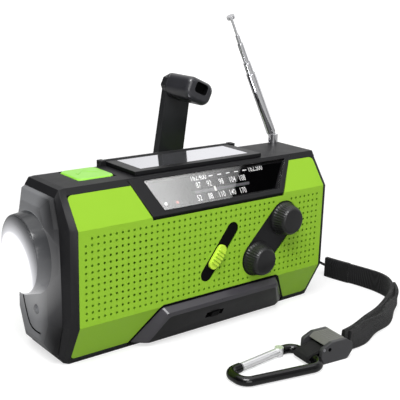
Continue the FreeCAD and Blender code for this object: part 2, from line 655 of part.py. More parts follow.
SCALE_TOP = f"(scale_plate - {FLOOR})"
pointer_parts = [
    pointer_block("pointer_blade", "pointer_width / 2", "3 * pointer_width",
                  f"{SCALE_TOP} + fit", "0.7"),
    pointer_block("pointer_stem", "pointer_width / 2", "0.7 * pointer_width",
                  f"-{FLOOR} - 0.6", f"{FLOOR} + 0.6 + {SCALE_TOP} + 0.4"),
    pointer_block("pointer_shoe", "3 * pointer_width", "2 * pointer_width",
                  f"-{FLOOR} - 1.4", "1.2"),
]
node(on_upper(fuse("dial_pointer", *pointer_parts)), "dial_pointer")

# ---- knobs and band slider -------------------------------------------------

BOARD_FACE = "(board_y + board_plate)"
KNOB_START = f"({PAD_Y} + play)"
KNOB_PROFILE = [
    ("0", f"{BOARD_FACE} + 2.5"),
    ("knob_shaft", f"{BOARD_FACE} + 2.5"),
    ("knob_shaft", KNOB_START),
    ("knob_base", KNOB_START),
    ("knob_base", f"{KNOB_START} + knob_skirt"),
    ("knob_waist", f"{KNOB_START} + knob_skirt + 0.4"),
    ("knob_face", f"{KNOB_START} + knob_length - 0.5"),
    ("knob_face - 0.5", f"{KNOB_START} + knob_length"),
    ("0", f"{KNOB_START} + knob_length"),
]
pots = []
pot_bores = []
for name, across, up in (("tuning", "tune_x", "tune_z"), ("volume", "volume_x", "volume_z")):
    knob = turned(f"{name}_knob", KNOB_PROFILE, (across, "0", up), "-y")
    node(knob, f"{name}_knob")
    pots.append(box(f"{name}_pot", (f"{across} - pot_side / 2", f"-({BOARD_FACE} + pot_depth)",
                                    f"{up} - pot_side / 2"),
                    ("pot_side", "pot_depth", "pot_side")))
    pot_bores.append(rod(f"{name}_pot_bore", (across, f"-({BOARD_FACE} + 2)", up),
                         "knob_shaft + bearing", "pot_depth", "-y"))
node(cut("control_pots", fuse("pot_blocks", *pots), *pot_bores), "control_pots")

CAP_X = "slot_x - cap_shift * cos(slot_angle)"
CAP_Z = "slot_z - cap_shift * sin(slot_angle)"
slider_cap = stadium("slider_cap", "cap_length - cap_width", "cap_width / 2", "cap_depth",
                     (CAP_X, f"-({PAD_Y} + fit + cap_depth)", CAP_Z), "slot_angle")
slider_stem = stadium("slider_stem", "stem_length", "stem_width / 2",
                      f"{PAD_Y} + 0.5 - {BOARD_FACE} - 3",
                      (CAP_X, f"-({PAD_Y} + 0.5)", CAP_Z), "slot_angle")
node(fuse("band_slider", slider_cap, slider_stem), "band_slider")
switch_block = stadium("switch_block", SLOT_REACH, "switch_width / 2", "7",
                       ("slot_x", f"-({BOARD_FACE} + 7)", "slot_z"), "slot_angle")
switch_slit = stadium("switch_slit", f"{SLOT_REACH} - cap_length + cap_width + stem_length",
                      "stem_width / 2 + play", "6",
                      ("slot_x", f"-({BOARD_FACE} + 8)", "slot_z"), "slot_angle")
node(cut("band_switch", switch_block, switch_slit), "band_switch")

# ---- base block with the battery selector ----------------------------------

block_solid = loft("block_solid", "XY", [
    ("0", [("-block_low_left", "block_low"), ("block_low_right", "block_low"),
           ("block_high_right", "block_high"), ("-block_high_left", "block_high")]),
    ("block_depth", [("-block_face_low_left", "block_face_low"),
                     ("block_face_low_right", "block_face_low"),
                     ("block_face_high_right", "block_face_high"),
                     ("-block_face_high_left", "block_face_high")]),
])


def key_block(name, half_along, half_up, start, length):
    return prism(name, "XY", [
        (f"key_x - {half_along}", f"key_row - {half_up}"),
        (f"key_x + {half_along}", f"key_row - {half_up}"),
        (f"key_x + {half_along}", f"key_row + {half_up}"),
        (f"key_x - {half_along}", f"key_row + {half_up}"),
    ], start, length)


key_cut = key_block("key_cut", "key_slot / 2", "key_width / 2", "block_depth - key_sink",
                    "key_sink + 1")
node(on_lower(cut("base_block", block_solid, key_cut)), "base_block")
node(on_lower(key_block("selector_slider", "key_length / 2", "(key_width / 2 - play / 2)",
                        "block_depth - key_sink + fit", "key_sink + 0.3")), "selector_slider")

# ---- power button ----------------------------------------------------------

CAP_LOW = f"({UNDER} + button_stroke + 0.2)"
button_parts = [
    box("button_cap", (BUTTON_LEFT, "button_y - button_side / 2", CAP_LOW),
        ("button_side", "button_side", f"top_z + button_proud - {CAP_LOW}")),
    box("button_core", (f"{BUTTON_LEFT}", "button_y - 5.5", FLANGE_LOW),
        ("button_side", "11", f"{CAP_LOW} + 0.5 - {FLANGE_LOW}")),
    box("button_flange_plate", (f"{BUTTON_LEFT} - 1", "button_y - 5.5", FLANGE_LOW),
        ("button_side + 2", "11", "button_flange")),
    rod("button_stem", ("-button_x", "button_y", f"{SHELF_TOP} + button_stroke + 0.4"),
        "spring_radius - 2", "spring_length", "z"),
]
node(fuse("power_button", *button_parts), "power_button")

half_wire = value("spring_wire")
turns_height = value("spring_length") - 2 * half_wire
coil_radius = value("spring_radius") - half_wire
coil = Part.makeHelix(turns_height / 4, turns_height, coil_radius)
wire_corners = [
    Vector(coil_radius + across * half_wire, 0, up * half_wire)
    for across, up in ((-1, -1), (1, -1), (1, 1), (-1, 1), (-1, -1))
]
wire_section = Part.makePolygon(wire_corners)
spring = feature("power_spring", Part.Wire(coil).makePipeShell([wire_section], True, True))
node(place(spring, ("-button_x", "button_y", f"{SHELF_TOP} + spring_wire")), "power_spring")

# ---- solar lid and the reading lamp under it -------------------------------

LID_LOW = "(top_z + fit)"
LID_WIDTH = "(lid_left + lid_right)"
lid_parts = [
    box("lid_slab", ("-lid_left", "-lid_front", LID_LOW),
        (LID_WIDTH, "lid_front + hinge_y", "lid_plate")),
    rod("lid_barrel", ("-lid_left", "hinge_y", "hinge_z"), "hinge_radius", LID_WIDTH, "x"),
    rod("lid_trunnions", ("-(lid_left + ear_width)", "hinge_y", "hinge_z"), "hinge_pin",
        f"{LID_WIDTH} + 2 * ear_width", "x"),
]
panel_cut = box("panel_cut", ("-panel_left - fit", "-panel_front - fit",
                              f"{LID_LOW} + lid_plate - panel_sink"),
                ("panel_left + panel_right + 2 * fit", "panel_front + panel_rear + 2 * fit",
                 "panel_sink + 1"))
node(cut("solar_lid", fuse("lid_body", *lid_parts), panel_cut), "solar_lid")
node(box("solar_panel", ("-panel_left", "-panel_front", f"{LID_LOW} + lid_plate - panel_sink"),
         ("panel_left + panel_right", "panel_front + panel_rear", "panel_sink - bearing")),
     "solar_panel")
node(box("reading_lamp", ("-lamp_left", "-lamp_half", "top_z - 1.2"),
         ("lamp_left + lamp_right", "2 * lamp_half", "1.2 - bearing")), "reading_lamp")

# ---- crank, built about its shaft with Z along the arm ---------------------

HUB_START = "(turret_y + hub_gap)"
HUB_END = f"({HUB_START} + hub_depth)"
ARM_FRONT = f"({HUB_END} + arm_gap)"
FOLD_Y = f"({ARM_FRONT} + arm_plate / 2)"
CHEEK_IN = "(arm_root_width / 2 + play)"
CHEEK_OUT = f"({CHEEK_IN} + cheek_plate)"
CRANK_BASE = ("crank_x", "0", "crank_z")


def cornered(width, height):
    """A rectangle round the origin with its corners cut off."""
    points = []
    for side, level in ((-1, -1), (1, -1), (1, 1), (-1, 1)):
        near_x = f"{side} * ({width} / 2 - cut_corner)"
        near_z = f"{level} * ({height} / 2 - cut_corner)"
        far_x = f"{side} * {width} / 2"
        far_z = f"{level} * {height} / 2"
        pair = [(far_x, near_z), (near_x, far_z)]
        points += pair if side * level > 0 else pair[::-1]
    return points


def rectangle(left, right, low, high):
    return [(left, low), (right, low), (right, high), (left, high)]


hub_disc = turned("hub_disc", [
    ("shaft_radius + bearing", HUB_START),
    ("hub_radius", HUB_START),
    ("hub_radius", f"{HUB_END} - 1.5"),
    ("hub_radius - 1.5", HUB_END),
    ("0", HUB_END),
    ("0", f"{HUB_END} - 1.2"),
    ("shaft_radius + bearing", f"{HUB_END} - 1.2"),
], ("0", "0", "0"), "y")
hub_parts = [hub_disc]
for name, left, right in (("left", f"-{CHEEK_OUT}", f"-{CHEEK_IN}"),
                          ("right", CHEEK_IN, CHEEK_OUT)):
    hub_parts.append(prism(f"cheek_{name}", "XZ",
                           rectangle(left, right, "-cheek_reach", "cheek_reach"),
                           f"{HUB_END} - 0.5", f"{FOLD_Y} + 3 - {HUB_END}"))
fold_bore = rod("fold_bore", (f"-{CHEEK_OUT} - 1", FOLD_Y, "0"), "fold_radius + bearing",
                f"2 * {CHEEK_OUT} + 2", "x")
hub = cut("crank_hub", fuse("hub_body", *hub_parts), fold_bore)
node(place(hub, CRANK_BASE, (0, 1, 0), "lean"), "crank_hub")

fold_pin = rod("fold_pin", ("0", "0", "0"), "fold_radius", f"2 * {CHEEK_OUT}", "z")
place(fold_pin, (f"crank_x - {CHEEK_OUT} * cos(lean)", FOLD_Y,
                 f"crank_z + {CHEEK_OUT} * sin(lean)"), (0, 1, 0), "90 + lean")
node(fold_pin, "fold_pin")

arm_face = prism("arm_face", "XZ", [
    ("-arm_root_width / 2", "0"),
    ("arm_root_width / 2", "0"),
    ("arm_root_width / 2", "arm_start"),
    ("arm_width / 2", "arm_start"),
    ("arm_width / 2", "arm_reach"),
    ("-arm_width / 2", "arm_reach"),
    ("-arm_width / 2", "arm_start"),
    ("-arm_root_width / 2", "arm_start"),
], f"{ARM_FRONT} - 1", "arm_plate + 2")
arm_side = prism("arm_side", "YZ", [
    (ARM_FRONT, "-1"),
    (f"{ARM_FRONT} + arm_plate", "-1"),
    (f"{ARM_FRONT} + arm_plate", "arm_start"),
    (f"{ARM_FRONT} + arm_tip_plate", "arm_reach"),
    (ARM_FRONT, "arm_reach"),
], "-arm_width", "2 * arm_width")
arm_head = prism("arm_head", "XZ", cornered("head_length", "head_width"), ARM_FRONT,
                 "arm_tip_plate")
place(arm_head, ("0", "0", "arm_reach"), (0, 1, 0), "grip_turn")
GRIP_FRONT = f"({ARM_FRONT} - play - grip_length)"
SPINDLE_START = f"({ARM_FRONT} - play - 0.7 * grip_length)"
arm_parts = [
    common("arm_blade", arm_face, arm_side),
    arm_head,
    rod("arm_root", ("-arm_root_width / 2", FOLD_Y, "0"), "arm_plate / 2", "arm_root_width", "x"),
    rod("grip_spindle", ("0", SPINDLE_START, "arm_reach"), "spindle",
        f"{ARM_FRONT} + 1 - {SPINDLE_START}", "y"),
    rod("spindle_head", ("0", SPINDLE_START, "arm_reach"), "snap_head", "snap_plate", "y"),
]
arm_bore = rod("arm_bore", ("-arm_width", FOLD_Y, "0"), "fold_radius + bearing",
               "2 * arm_width", "x")
arm = cut("crank_arm", fuse("arm_body", *arm_parts), arm_bore)
node(place(arm, CRANK_BASE, (0, 1, 0), "lean"), "crank_arm")

grip_solid = prism("grip_solid", "XZ", cornered("grip_width", "grip_height"), GRIP_FRONT,
                   "grip_length")
grip_cuts = [
    rod("grip_bore", ("0", SPINDLE_START, "0"), "spindle + bearing", "grip_length", "y"),
    rod("snap_chamber", ("0", f"{SPINDLE_START} - play", "0"), "snap_head + play",
        "snap_plate + 2 * play", "y"),
    prism("grip_recess_cut", "XZ",
          rectangle("-recess_width / 2", "recess_width / 2", "recess_rise - recess_height / 2",
                    "recess_rise + recess_height / 2"), f"{GRIP_FRONT} - 1", "recess_depth + 1"),
]
grip = cut("crank_grip", grip_solid, *grip_cuts)
node(place(grip, ("crank_x + arm_reach * sin(lean)", "0", "crank_z + arm_reach * cos(lean)"),
           (0, 1, 0), "lean + grip_turn"), "crank_grip")

# ---- generator train -------------------------------------------------------

def gear_wire(teeth, phase, centre, along):
    """A spur gear outline in an XZ plane with one tooth at the phase angle."""
    size = value("tooth_size")
    pitch_radius = teeth * size / 2
    base_radius = pitch_radius * math.cos(math.radians(20))
    tip = pitch_radius + 0.8 * size
    root = pitch_radius - 1.05 * size
    slack = 0.16 * size / pitch_radius
    swell = math.tan(math.radians(20)) - math.radians(20)
    flank = []
    for step in range(5):
        radius = max(base_radius, root) + (tip - max(base_radius, root)) * step / 4
        roll = math.acos(min(1.0, base_radius / radius))
        half = math.pi / (2 * teeth) - slack + swell - (math.tan(roll) - roll)
        flank.append((radius, half))
    flank.insert(0, (root, flank[0][1]))
    points = []
    for tooth in range(teeth):
        middle = math.radians(phase) + 2 * math.pi * tooth / teeth
        polar = [(radius, middle - half) for radius, half in flank]
        polar += [(radius, middle + half) for radius, half in flank[::-1]]
        for radius, angle in polar:
            points.append(Vector(centre[0] + radius * math.cos(angle), along,
                                 centre[1] + radius * math.sin(angle)))
    return Part.makePolygon(points + points[:1])


def gear(teeth, phase, centre, along, width):
    face = Part.Face(gear_wire(teeth, phase, centre, along))
    return face.extrude(Vector(0, width, 0))


def pin(radius, centre, start, end):
    return Part.makeCylinder(radius, end - start, Vector(centre[0], start, centre[1]),
                             Vector(0, 1, 0))


PLATE_END = "(plate_y + gear_plate)"
drive_centre = (value("crank_x"), value("crank_z"))
idler_centre = (value(IDLER_X), value(IDLER_Z))
rotor_centre = (value(ROTOR_X), value(ROTOR_Z))
low_stage = value(f"{PLATE_END} + stage_gap")
face_width = value("gear_face")
high_stage = low_stage + face_width + 1.5
pinion_teeth = int(value("pinion_teeth"))
axle = value("axle_radius")
half_pinion = 180 + 180 / pinion_teeth

drive = gear(int(value("drive_teeth")), value("idler_angle"), drive_centre, high_stage, face_width)
drive = drive.fuse(pin(1.8 * value("shaft_radius"), drive_centre, high_stage - 1,
                       high_stage + face_width + 1))
bore = pin(value("shaft_radius + bearing"), drive_centre, 0, 2 * high_stage)
node(feature("drive_gear", drive.cut(bore)), "drive_gear")

idler = gear(int(value("idler_teeth")), value("rotor_angle"), idler_centre, low_stage, face_width)
idler = idler.fuse([
    gear(pinion_teeth, value("idler_angle") + half_pinion, idler_centre, high_stage, face_width),
    pin(2 * axle, idler_centre, low_stage + face_width, high_stage),
    pin(axle, idler_centre, value("plate_y"), 16),
])
node(feature("idler_gear", idler), "idler_gear")

magnet_start = high_stage + face_width + 0.6
rotor = gear(pinion_teeth, value("rotor_angle") + half_pinion, rotor_centre, low_stage, face_width)
rotor = rotor.fuse([
    pin(value("rotor_radius"), rotor_centre, magnet_start, magnet_start + value("rotor_length")),
    pin(axle, rotor_centre, value("plate_y"), value(f"{INNER} - 0.2")),
])
node(feature("generator_rotor", rotor), "generator_rotor")

STATOR_IN = "(rotor_radius + air_gap)"
node(turned("stator", [
    (STATOR_IN, f"{INNER} - 1.4 - stator_length"),
    (f"{STATOR_IN} + stator_wall", f"{INNER} - 1.4 - stator_length"),
    (f"{STATOR_IN} + stator_wall", f"{INNER} - 1.4"),
    (STATOR_IN, f"{INNER} - 1.4"),
], (ROTOR_X, "0", ROTOR_Z), "y"), "stator")

node(rod("crank_shaft", ("crank_x", "plate_y - 0.4", "crank_z"), "shaft_radius",
         f"{HUB_END} - 1.4 - plate_y + 0.4", "y"), "crank_shaft")

plate_parts = [
    box("plate_slab", (f"{ROTOR_X} - 7.5", "plate_y", f"{ROTOR_Z} - 6"),
        (f"crank_x + 19.5 - {ROTOR_X} + 7.5", "gear_plate", f"crank_z + 6 - {ROTOR_Z} + 6")),
]
for index, (across, up) in enumerate((("crank_x + 16.5", "crank_z - 2"),
                                      (f"{IDLER_X} - 13", "crank_z - 2"),
                                      ("crank_x + 9", f"{ROTOR_Z} - 3"))):
    plate_parts.append(rod(f"plate_post_{index}", (across, "plate_y", up), "board_post",
                           f"{INNER} - plate_y", "y"))
plate_bores = [
    rod("plate_shaft_bore", ("crank_x", "0", "crank_z"), "shaft_radius + bearing", "5", "y"),
    rod("plate_idler_bore", (IDLER_X, "0", IDLER_Z), "axle_radius + bearing", "5", "y"),
    rod("plate_rotor_bore", (ROTOR_X, "0", ROTOR_Z), "axle_radius + bearing", "5", "y"),
]
node(cut("gear_plate", fuse("plate_body", *plate_parts), *plate_bores), "gear_plate")

# ---- aerial, each section built about the tilt pin with Z along it ---------

socket_post = fuse(
    "socket_post",
    rod("post_body", ("aerial_x", "aerial_y", "top_z + bearing"), "post_size",
        "aerial_z + post_top - top_z - bearing", "z"),
    rod("post_shank_rod", ("aerial_x", "aerial_y", f"{UNDER} + fit"), "post_shank",
        "deck_plate", "z"))
socket_slot = box("socket_slot", ("aerial_x - 2 * post_size", "aerial_y - post_slot / 2",
                                  "aerial_z - knuckle_radius - 0.15"),
                  ("4 * post_size", "post_slot", "post_top + knuckle_radius + 2"))
socket_pin = rod("socket_pin", ("aerial_x", "aerial_y - post_size + 0.2", "aerial_z"),
                 "0.8", "2 * post_size - 0.4", "y")
node(fuse("antenna_socket", cut("socket_fork", socket_post, socket_slot), socket_pin),
     "antenna_socket")


def along_aerial(item):
    return place(item, ("aerial_x", "aerial_y", "aerial_z"), (0, -1, 0), "aerial_lean")


TONGUE = "(post_slot / 2 - fit)"
knuckle_parts = [
    box("tongue", ("-knuckle_radius", f"-{TONGUE}", "0"),
        ("2 * knuckle_radius", f"2 * {TONGUE}", "knuckle_reach + 0.5")),
    rod("tongue_eye", ("0", f"-{TONGUE}", "0"), "knuckle_radius", f"2 * {TONGUE}", "y"),
    rod("tongue_foot", ("0", "0", "knuckle_reach"), "tube_a", "1.5", "z"),
]
tongue_bore = rod("tongue_bore", ("0", "-2", "0"), "0.8 + bearing", "4", "y")
node(along_aerial(cut("antenna_knuckle", fuse("knuckle_body", *knuckle_parts), tongue_bore)),
     "antenna_knuckle")

TUBES = [
    ("antenna_section_a", "tube_a", "knuckle_reach + 1.5", "collar_a"),
    ("antenna_section_b", "tube_b", "collar_a - tube_hidden", "collar_b"),
    ("antenna_section_c", "tube_c", "collar_b - tube_hidden", "collar_c"),
    ("antenna_section_d", "tube_d", "collar_c - tube_hidden", "collar_d"),
]
for name, radius, start, end in TUBES:
    outside = rod(f"{name}_outside", ("0", "0", start), radius, f"{end} - ({start})", "z")
    inside = rod(f"{name}_inside", ("0", "0", f"{start} - 1"), f"{radius} - tube_wall",
                 f"{end} - ({start}) + 2", "z")
    node(along_aerial(cut(name, outside, inside)), name)
node(along_aerial(fuse(
    "antenna_rod",
    rod("whip", ("0", "0", "collar_d - tube_hidden"), "rod_radius",
        "aerial_tip - tip_plate / 2 - collar_d + tube_hidden", "z"),
    rod("whip_tip", ("0", "0", "aerial_tip - tip_plate"), "tip_radius", "tip_plate", "z"))),
    "antenna_rod")

# ---- inside the case -------------------------------------------------------

node(box("circuit_board", ("-board_left", f"-{BOARD_FACE}", "board_low"),
         ("board_left + board_right", "board_plate", "board_high - board_low")), "circuit_board")
node(turned("speaker", [
    ("0", f"{INNER} - speaker_depth"),
    ("magnet_radius", f"{INNER} - speaker_depth"),
    ("magnet_radius", f"{INNER} - 0.6 * speaker_depth"),
    ("speaker_mouth", f"{INNER} - 1.2"),
    ("speaker_radius", f"{INNER} - 1.2"),
    ("speaker_radius", INNER),
    ("speaker_mouth - 1", INNER),
    ("0.3 * speaker_mouth", f"{INNER} - 4.5"),
    ("0", f"{INNER} - 3.5"),
], ("-speaker_x", "0", "speaker_z"), "-y"), "speaker")
node(rod("battery_pack", ("-cell_left", "cell_y", f"{FLOOR} + play + cell_radius"),
         "cell_radius", "cell_length", "x"), "battery_pack")
cells = []
for index, across in enumerate(("-battery_pitch", "0", "battery_pitch")):
    cells.append(rod(f"cell_{index}", ("2 - door_left", across, "battery_z"), "battery_radius",
                     "battery_length - 1", "x"))
    cells.append(rod(f"cell_tip_{index}", ("2 - door_left", across, "battery_z"), "1.9",
                     "battery_length", "x"))
node(fuse("aaa_cells", *cells), "aaa_cells")
door_parts = [box("door_slab", ("-door_left", "-door_half", "0"),
                  (DOOR_SIZE, "2 * door_half", "2.2"))]
for index, across in enumerate(("12 - door_left", "36 - door_left")):
    door_parts.append(box(f"door_rib_{index}", (across, "-door_half", "2"),
                          ("2", "2 * door_half", "battery_z - battery_radius - 2 - bearing")))
node(fuse("battery_door", *door_parts), "battery_door")
node(rod("ferrite_rod", ("-ferrite_left", "-ferrite_y", f"{UNDER} - play - rod_ferrite"),
         "rod_ferrite", "ferrite_length", "x"), "ferrite_rod")
PORT_MOUTH = "(band_y - flap_sink)"
port_block = box("port_block", ("-(port_x + port_width / 2)", f"{PORT_MOUTH} - port_depth",
                                "port_z - port_height / 2"),
                 ("port_width", "port_depth", "port_height"))
port_hollow = box("port_hollow", ("-(port_x + port_width / 2 - port_shell)",
                                  f"{PORT_MOUTH} - port_depth + 2",
                                  "port_z - port_height / 2 + port_shell"),
                  ("port_width - 2 * port_shell", "port_depth", "port_height - 2 * port_shell"))
port_tongue = box("port_tongue", ("-(port_x + port_width / 2 - 1.4)",
                                  f"{PORT_MOUTH} - port_depth + 1", "port_z"),
                  ("port_width - 2.8", "port_depth - 2.5", "1.8"))
node(fuse("usb_port", cut("port_case", port_block, port_hollow), port_tongue), "usb_port")
flap_parts = [
    box("flap_leaf", (f"{FLAP_X} + flap_plate / 2", "band_y - flap_sink + fit", FLAP_Z),
        ("flap_width - flap_plate / 2", "flap_plate", "flap_height")),
    rod("flap_bead", (f"{FLAP_X} + flap_plate / 2", "band_y - flap_sink + fit + flap_plate / 2",
                      FLAP_Z), "flap_plate / 2 + bearing", "flap_height", "z"),
]
node(fuse("port_cover", *flap_parts), "port_cover")

# ---- strap, buckle and carabiner on the floor ------------------------------

def rounded_route(points, radii):
    """Straight runs joined by tangent arcs of the given radii."""
    edges = []
    start = points[0]
    for index, radius in enumerate(radii, start=1):
        corner = points[index]
        back = (points[index - 1] - corner).normalize()
        ahead = (points[index + 1] - corner).normalize()
        half_turn = (math.pi - back.getAngle(ahead)) / 2
        step = radius * math.tan(half_turn)
        enter = corner + back * step
        leave = corner + ahead * step
        inward = (back + ahead).normalize()
        middle = corner + inward * (radius / math.cos(half_turn) - radius)
        edges.append(Part.LineSegment(start, enter).toShape())
        edges.append(Part.Arc(enter, middle, leave).toShape())
        start = leave
    edges.append(Part.LineSegment(start, points[-1]).toShape())
    return Part.Wire(edges)


def cord_radii(points):
    """Each arc as large as its two runs allow."""
    radii = []
    for index in range(1, len(points) - 1):
        back = points[index - 1] - points[index]
        ahead = points[index + 1] - points[index]
        half_turn = (math.pi - back.getAngle(ahead)) / 2
        radii.append(0.45 * min(back.Length, ahead.Length) / math.tan(half_turn))
    return radii


def tube(route, radius):
    start = route.Edges[0]
    tangent = start.tangentAt(start.FirstParameter)
    circle = Part.makeCircle(radius, start.valueAt(start.FirstParameter), tangent)
    return route.makePipeShell([Part.Wire(circle)], True, False)


eye_face = value(f"{END} + eye_depth")
cord_points = [
    Vector(eye_face, value("eye_y"), value("eye_z")),
    Vector(90, 4, 18), Vector(97.5, 3.2, 13.6), Vector(103.6, 1.0, 8.4), Vector(107.4, -3.6, 6.2),
]
cord_arcs = cord_radii(cord_points)
cord_route = rounded_route(cord_points, cord_arcs)
cord_tube = tube(cord_route, value("cord_radius"))
print("cord radii", [round(radius, 1) for radius in cord_arcs], "length",
      round(cord_route.Length, 2), "volume", round(cord_tube.Volume, 2), "against",
      round(math.pi * value("cord_radius") ** 2 * cord_route.Length, 2))
node(feature("strap_cord", cord_tube), "strap_cord")

web_half = value("web_width") / 2
web_plan = [
    (107.0, -2.4), (108.2, -10.5), (110.2, -18.4), (111.4, -26.5), (112.8, -34.5),
    (111.6, -42.6), (106.4, -49.4), (99.2, -54.4), (91.3, -58.8), (83.0, -62.6),
    (74.4, -66.0), (65.8, -68.8), (57.0, -71.4), (48.8, -73.0), (42.8, -73.7),
]
web_points = [Vector(across, along, web_half + 0.3) for across, along in web_plan]
web_arcs = cord_radii(web_points)
web_route = rounded_route(web_points, web_arcs)
web_start = web_route.Edges[0].tangentAt(web_route.Edges[0].FirstParameter)
side = web_start.cross(Vector(0, 0, 1)) * (value("web_plate") / 2)
lift = Vector(0, 0, web_half)
corners = [web_points[0] + side + lift, web_points[0] + side - lift,
           web_points[0] - side - lift, web_points[0] - side + lift]
web_section = Part.makePolygon(corners + corners[:1])
webbing = web_route.makePipeShell([web_section], True, False)
print("webbing radii", [round(radius, 1) for radius in web_arcs], "length",
      round(web_route.Length, 2), "volume", round(webbing.Volume, 1), "against",
      round(value("web_width") * value("web_plate") * web_route.Length, 1))
node(feature("strap_webbing", webbing), "strap_webbing")

BUCKLE_BASE = ("buckle_x", "-buckle_y", "0")
buckle_solid = box("buckle_solid", ("-buckle_length / 2", "-buckle_width / 2", "0.2"),
                   ("buckle_length", "buckle_width", "buckle_height - 0.2"))
buckle_cut = box("buckle_cut", ("-buckle_length / 2 - 1", "-buckle_width / 2 + buckle_wall", "5.2"),
                 ("0.7 * buckle_length + 1", "buckle_width - 2 * buckle_wall",
                  "buckle_height - 5.2 - 0.6 * buckle_wall"))
node(place(cut("strap_buckle", buckle_solid, buckle_cut), BUCKLE_BASE, (0, 0, -1), "buckle_turn"),
     "strap_buckle")

hook_height = value("hook_z")
hook_points = [Vector(across, along, hook_height) for across, along in (
    (-6.9, -61.9), (-14.0, -62.5), (-14.3, -72.9), (24.3, -81.4), (25.6, -60.6), (19.6, -60.05))]
hook_route = rounded_route(hook_points, [4.3, 5.0, 5.5, 4.6])
node(feature("carabiner", tube(hook_route, value("hook_radius"))), "carabiner")
loop_channel = feature("loop_channel", tube(hook_route, value("hook_radius + fit")))
loop_block = prism("loop_block", "XY", rectangle(
    "-buckle_length / 2 - 9", "-buckle_length / 2", "-buckle_width / 2 + 1",
    "buckle_width / 2 - 1"), "0.3", "4.8")
place(loop_block, BUCKLE_BASE, (0, 0, -1), "buckle_turn")
node(cut("strap_loop", loop_block, loop_channel), "strap_loop")

gate_parts = [
    rod("gate_bar", ("0", "0", "hook_z"), "gate_radius", "gate_length", "-x"),
    rod("gate_knuckle", ("0", "0", "hook_z - 1.1 * gate_radius"), "1.1 * gate_radius",
        "2.2 * gate_radius", "z"),
]
gate = fuse("carabiner_gate", *gate_parts)
node(place(gate, ("gate_x", "-gate_y", "0"), (0, 0, 1), "4.5"), "carabiner_gate")

# ---- check and write -------------------------------------------------------

doc.recompute()
for item in doc.Objects:
    if "Invalid" in item.State or "Error" in item.State:
        raise RuntimeError(f"{item.Label} did not compute: {item.State}")

os.makedirs("parts", exist_ok=True)
for label, item in nodes.items():
    shape = item.Shape
    if shape.isNull() or not shape.isValid() or not shape.Solids:
        raise RuntimeError(f"{label} has no valid solid")
    shape.exportStep(f"parts/{label}.step")
    box_size = shape.BoundBox
    print(f"{label}: {len(shape.Solids)} solid(s), volume {shape.Volume:.1f}, "
          f"x {box_size.XMin:.1f}..{box_size.XMax:.1f} y {box_size.YMin:.1f}..{box_size.YMax:.1f} "
          f"z {box_size.ZMin:.1f}..{box_size.ZMax:.1f}")
print(len(nodes), "nodes")
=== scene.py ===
import json
import math

import bmesh
import bpy
from mathutils import Matrix, Vector


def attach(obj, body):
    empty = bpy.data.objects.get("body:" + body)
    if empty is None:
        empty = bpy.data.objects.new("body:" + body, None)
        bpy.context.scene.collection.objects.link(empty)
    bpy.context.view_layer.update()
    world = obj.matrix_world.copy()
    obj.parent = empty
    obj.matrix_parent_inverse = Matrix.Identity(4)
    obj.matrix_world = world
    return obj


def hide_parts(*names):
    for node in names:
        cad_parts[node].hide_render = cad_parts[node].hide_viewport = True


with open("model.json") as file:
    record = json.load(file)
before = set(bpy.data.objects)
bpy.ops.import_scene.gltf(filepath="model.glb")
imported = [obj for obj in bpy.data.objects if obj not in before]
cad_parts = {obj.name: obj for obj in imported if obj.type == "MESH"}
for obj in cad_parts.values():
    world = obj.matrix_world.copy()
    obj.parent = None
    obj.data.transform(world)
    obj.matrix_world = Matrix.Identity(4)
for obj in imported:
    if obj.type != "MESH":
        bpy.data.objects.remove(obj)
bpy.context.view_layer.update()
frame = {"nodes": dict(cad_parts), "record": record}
nodes = frame["nodes"]

MM = 0.001
FRONT_Y = -24.0
FLAT_LOW = 19.7
FLAT_HIGH = 61.5
FOOT_Y = -14.2
UPPER_TURN = 54.88
LOWER_TURN = 116.45


def mm(*numbers):
    return Vector(numbers) * MM


def placed(x, y, z):
    return Matrix.Translation(mm(x, y, z))


def rotated(degrees, axis):
    return Matrix.Rotation(math.radians(degrees), 4, axis)


def new_object(name, data):
    """An object of the scene that shows the data."""
    thing = bpy.data.objects.new(name, data)
    bpy.context.scene.collection.objects.link(thing)
    return thing


UPPER_FACE = placed(0, FRONT_Y, FLAT_HIGH) @ rotated(UPPER_TURN, "X")
LOWER_FACE = placed(0, FOOT_Y, 0) @ rotated(LOWER_TURN, "X")

# ---- camera ----

CAMERA_AT = (-214.0, -294.6, 161.3)
CAMERA_TURN = -38.264
CAMERA_DROP = 15.524
CAMERA_ROLL = 1.466
LENS = 73.26


def make_camera():
    turn, drop, roll = (math.radians(a) for a in (CAMERA_TURN, CAMERA_DROP, CAMERA_ROLL))
    ahead = Vector((-math.sin(turn) * math.cos(drop), math.cos(turn) * math.cos(drop),
                    -math.sin(drop)))
    right = ahead.cross(Vector((0, 0, 1))).normalized()
    down = ahead.cross(right)
    across = right * math.cos(roll) - down * math.sin(roll)
    along = right * math.sin(roll) + down * math.cos(roll)
    data = bpy.data.cameras.new("camera")
    data.sensor_width = 36.0
    data.sensor_fit = "HORIZONTAL"
    data.lens = LENS
    data.clip_start = 0.01
    camera = new_object("camera", data)
    facing = Matrix((across, -along, -ahead)).transposed().to_4x4()
    camera.matrix_world = placed(*CAMERA_AT) @ facing
    bpy.context.scene.camera = camera


make_camera()
bpy.context.scene.view_settings.view_transform = "Standard"

# ---- building blocks of the materials ----

VECTOR, COLOUR, NUMBER = "NodeSocketVector", "NodeSocketColor", "NodeSocketFloat"


def give(tree, value, socket):
    """Set a socket, or wire it where the value comes out of another node."""
    if isinstance(value, (int, float, tuple)):
        socket.default_value = value
    else:
        tree.links.new(value, socket)


def give_all(tree, node, values):
    for label, value in values.items():
        give(tree, value, node.inputs[label])


def arithmetic(tree, operation, first, second):
    node = tree.nodes.new("ShaderNodeMath")
    node.operation = operation
    give(tree, first, node.inputs[0])
    give(tree, second, node.inputs[1])
    return node.outputs[0]


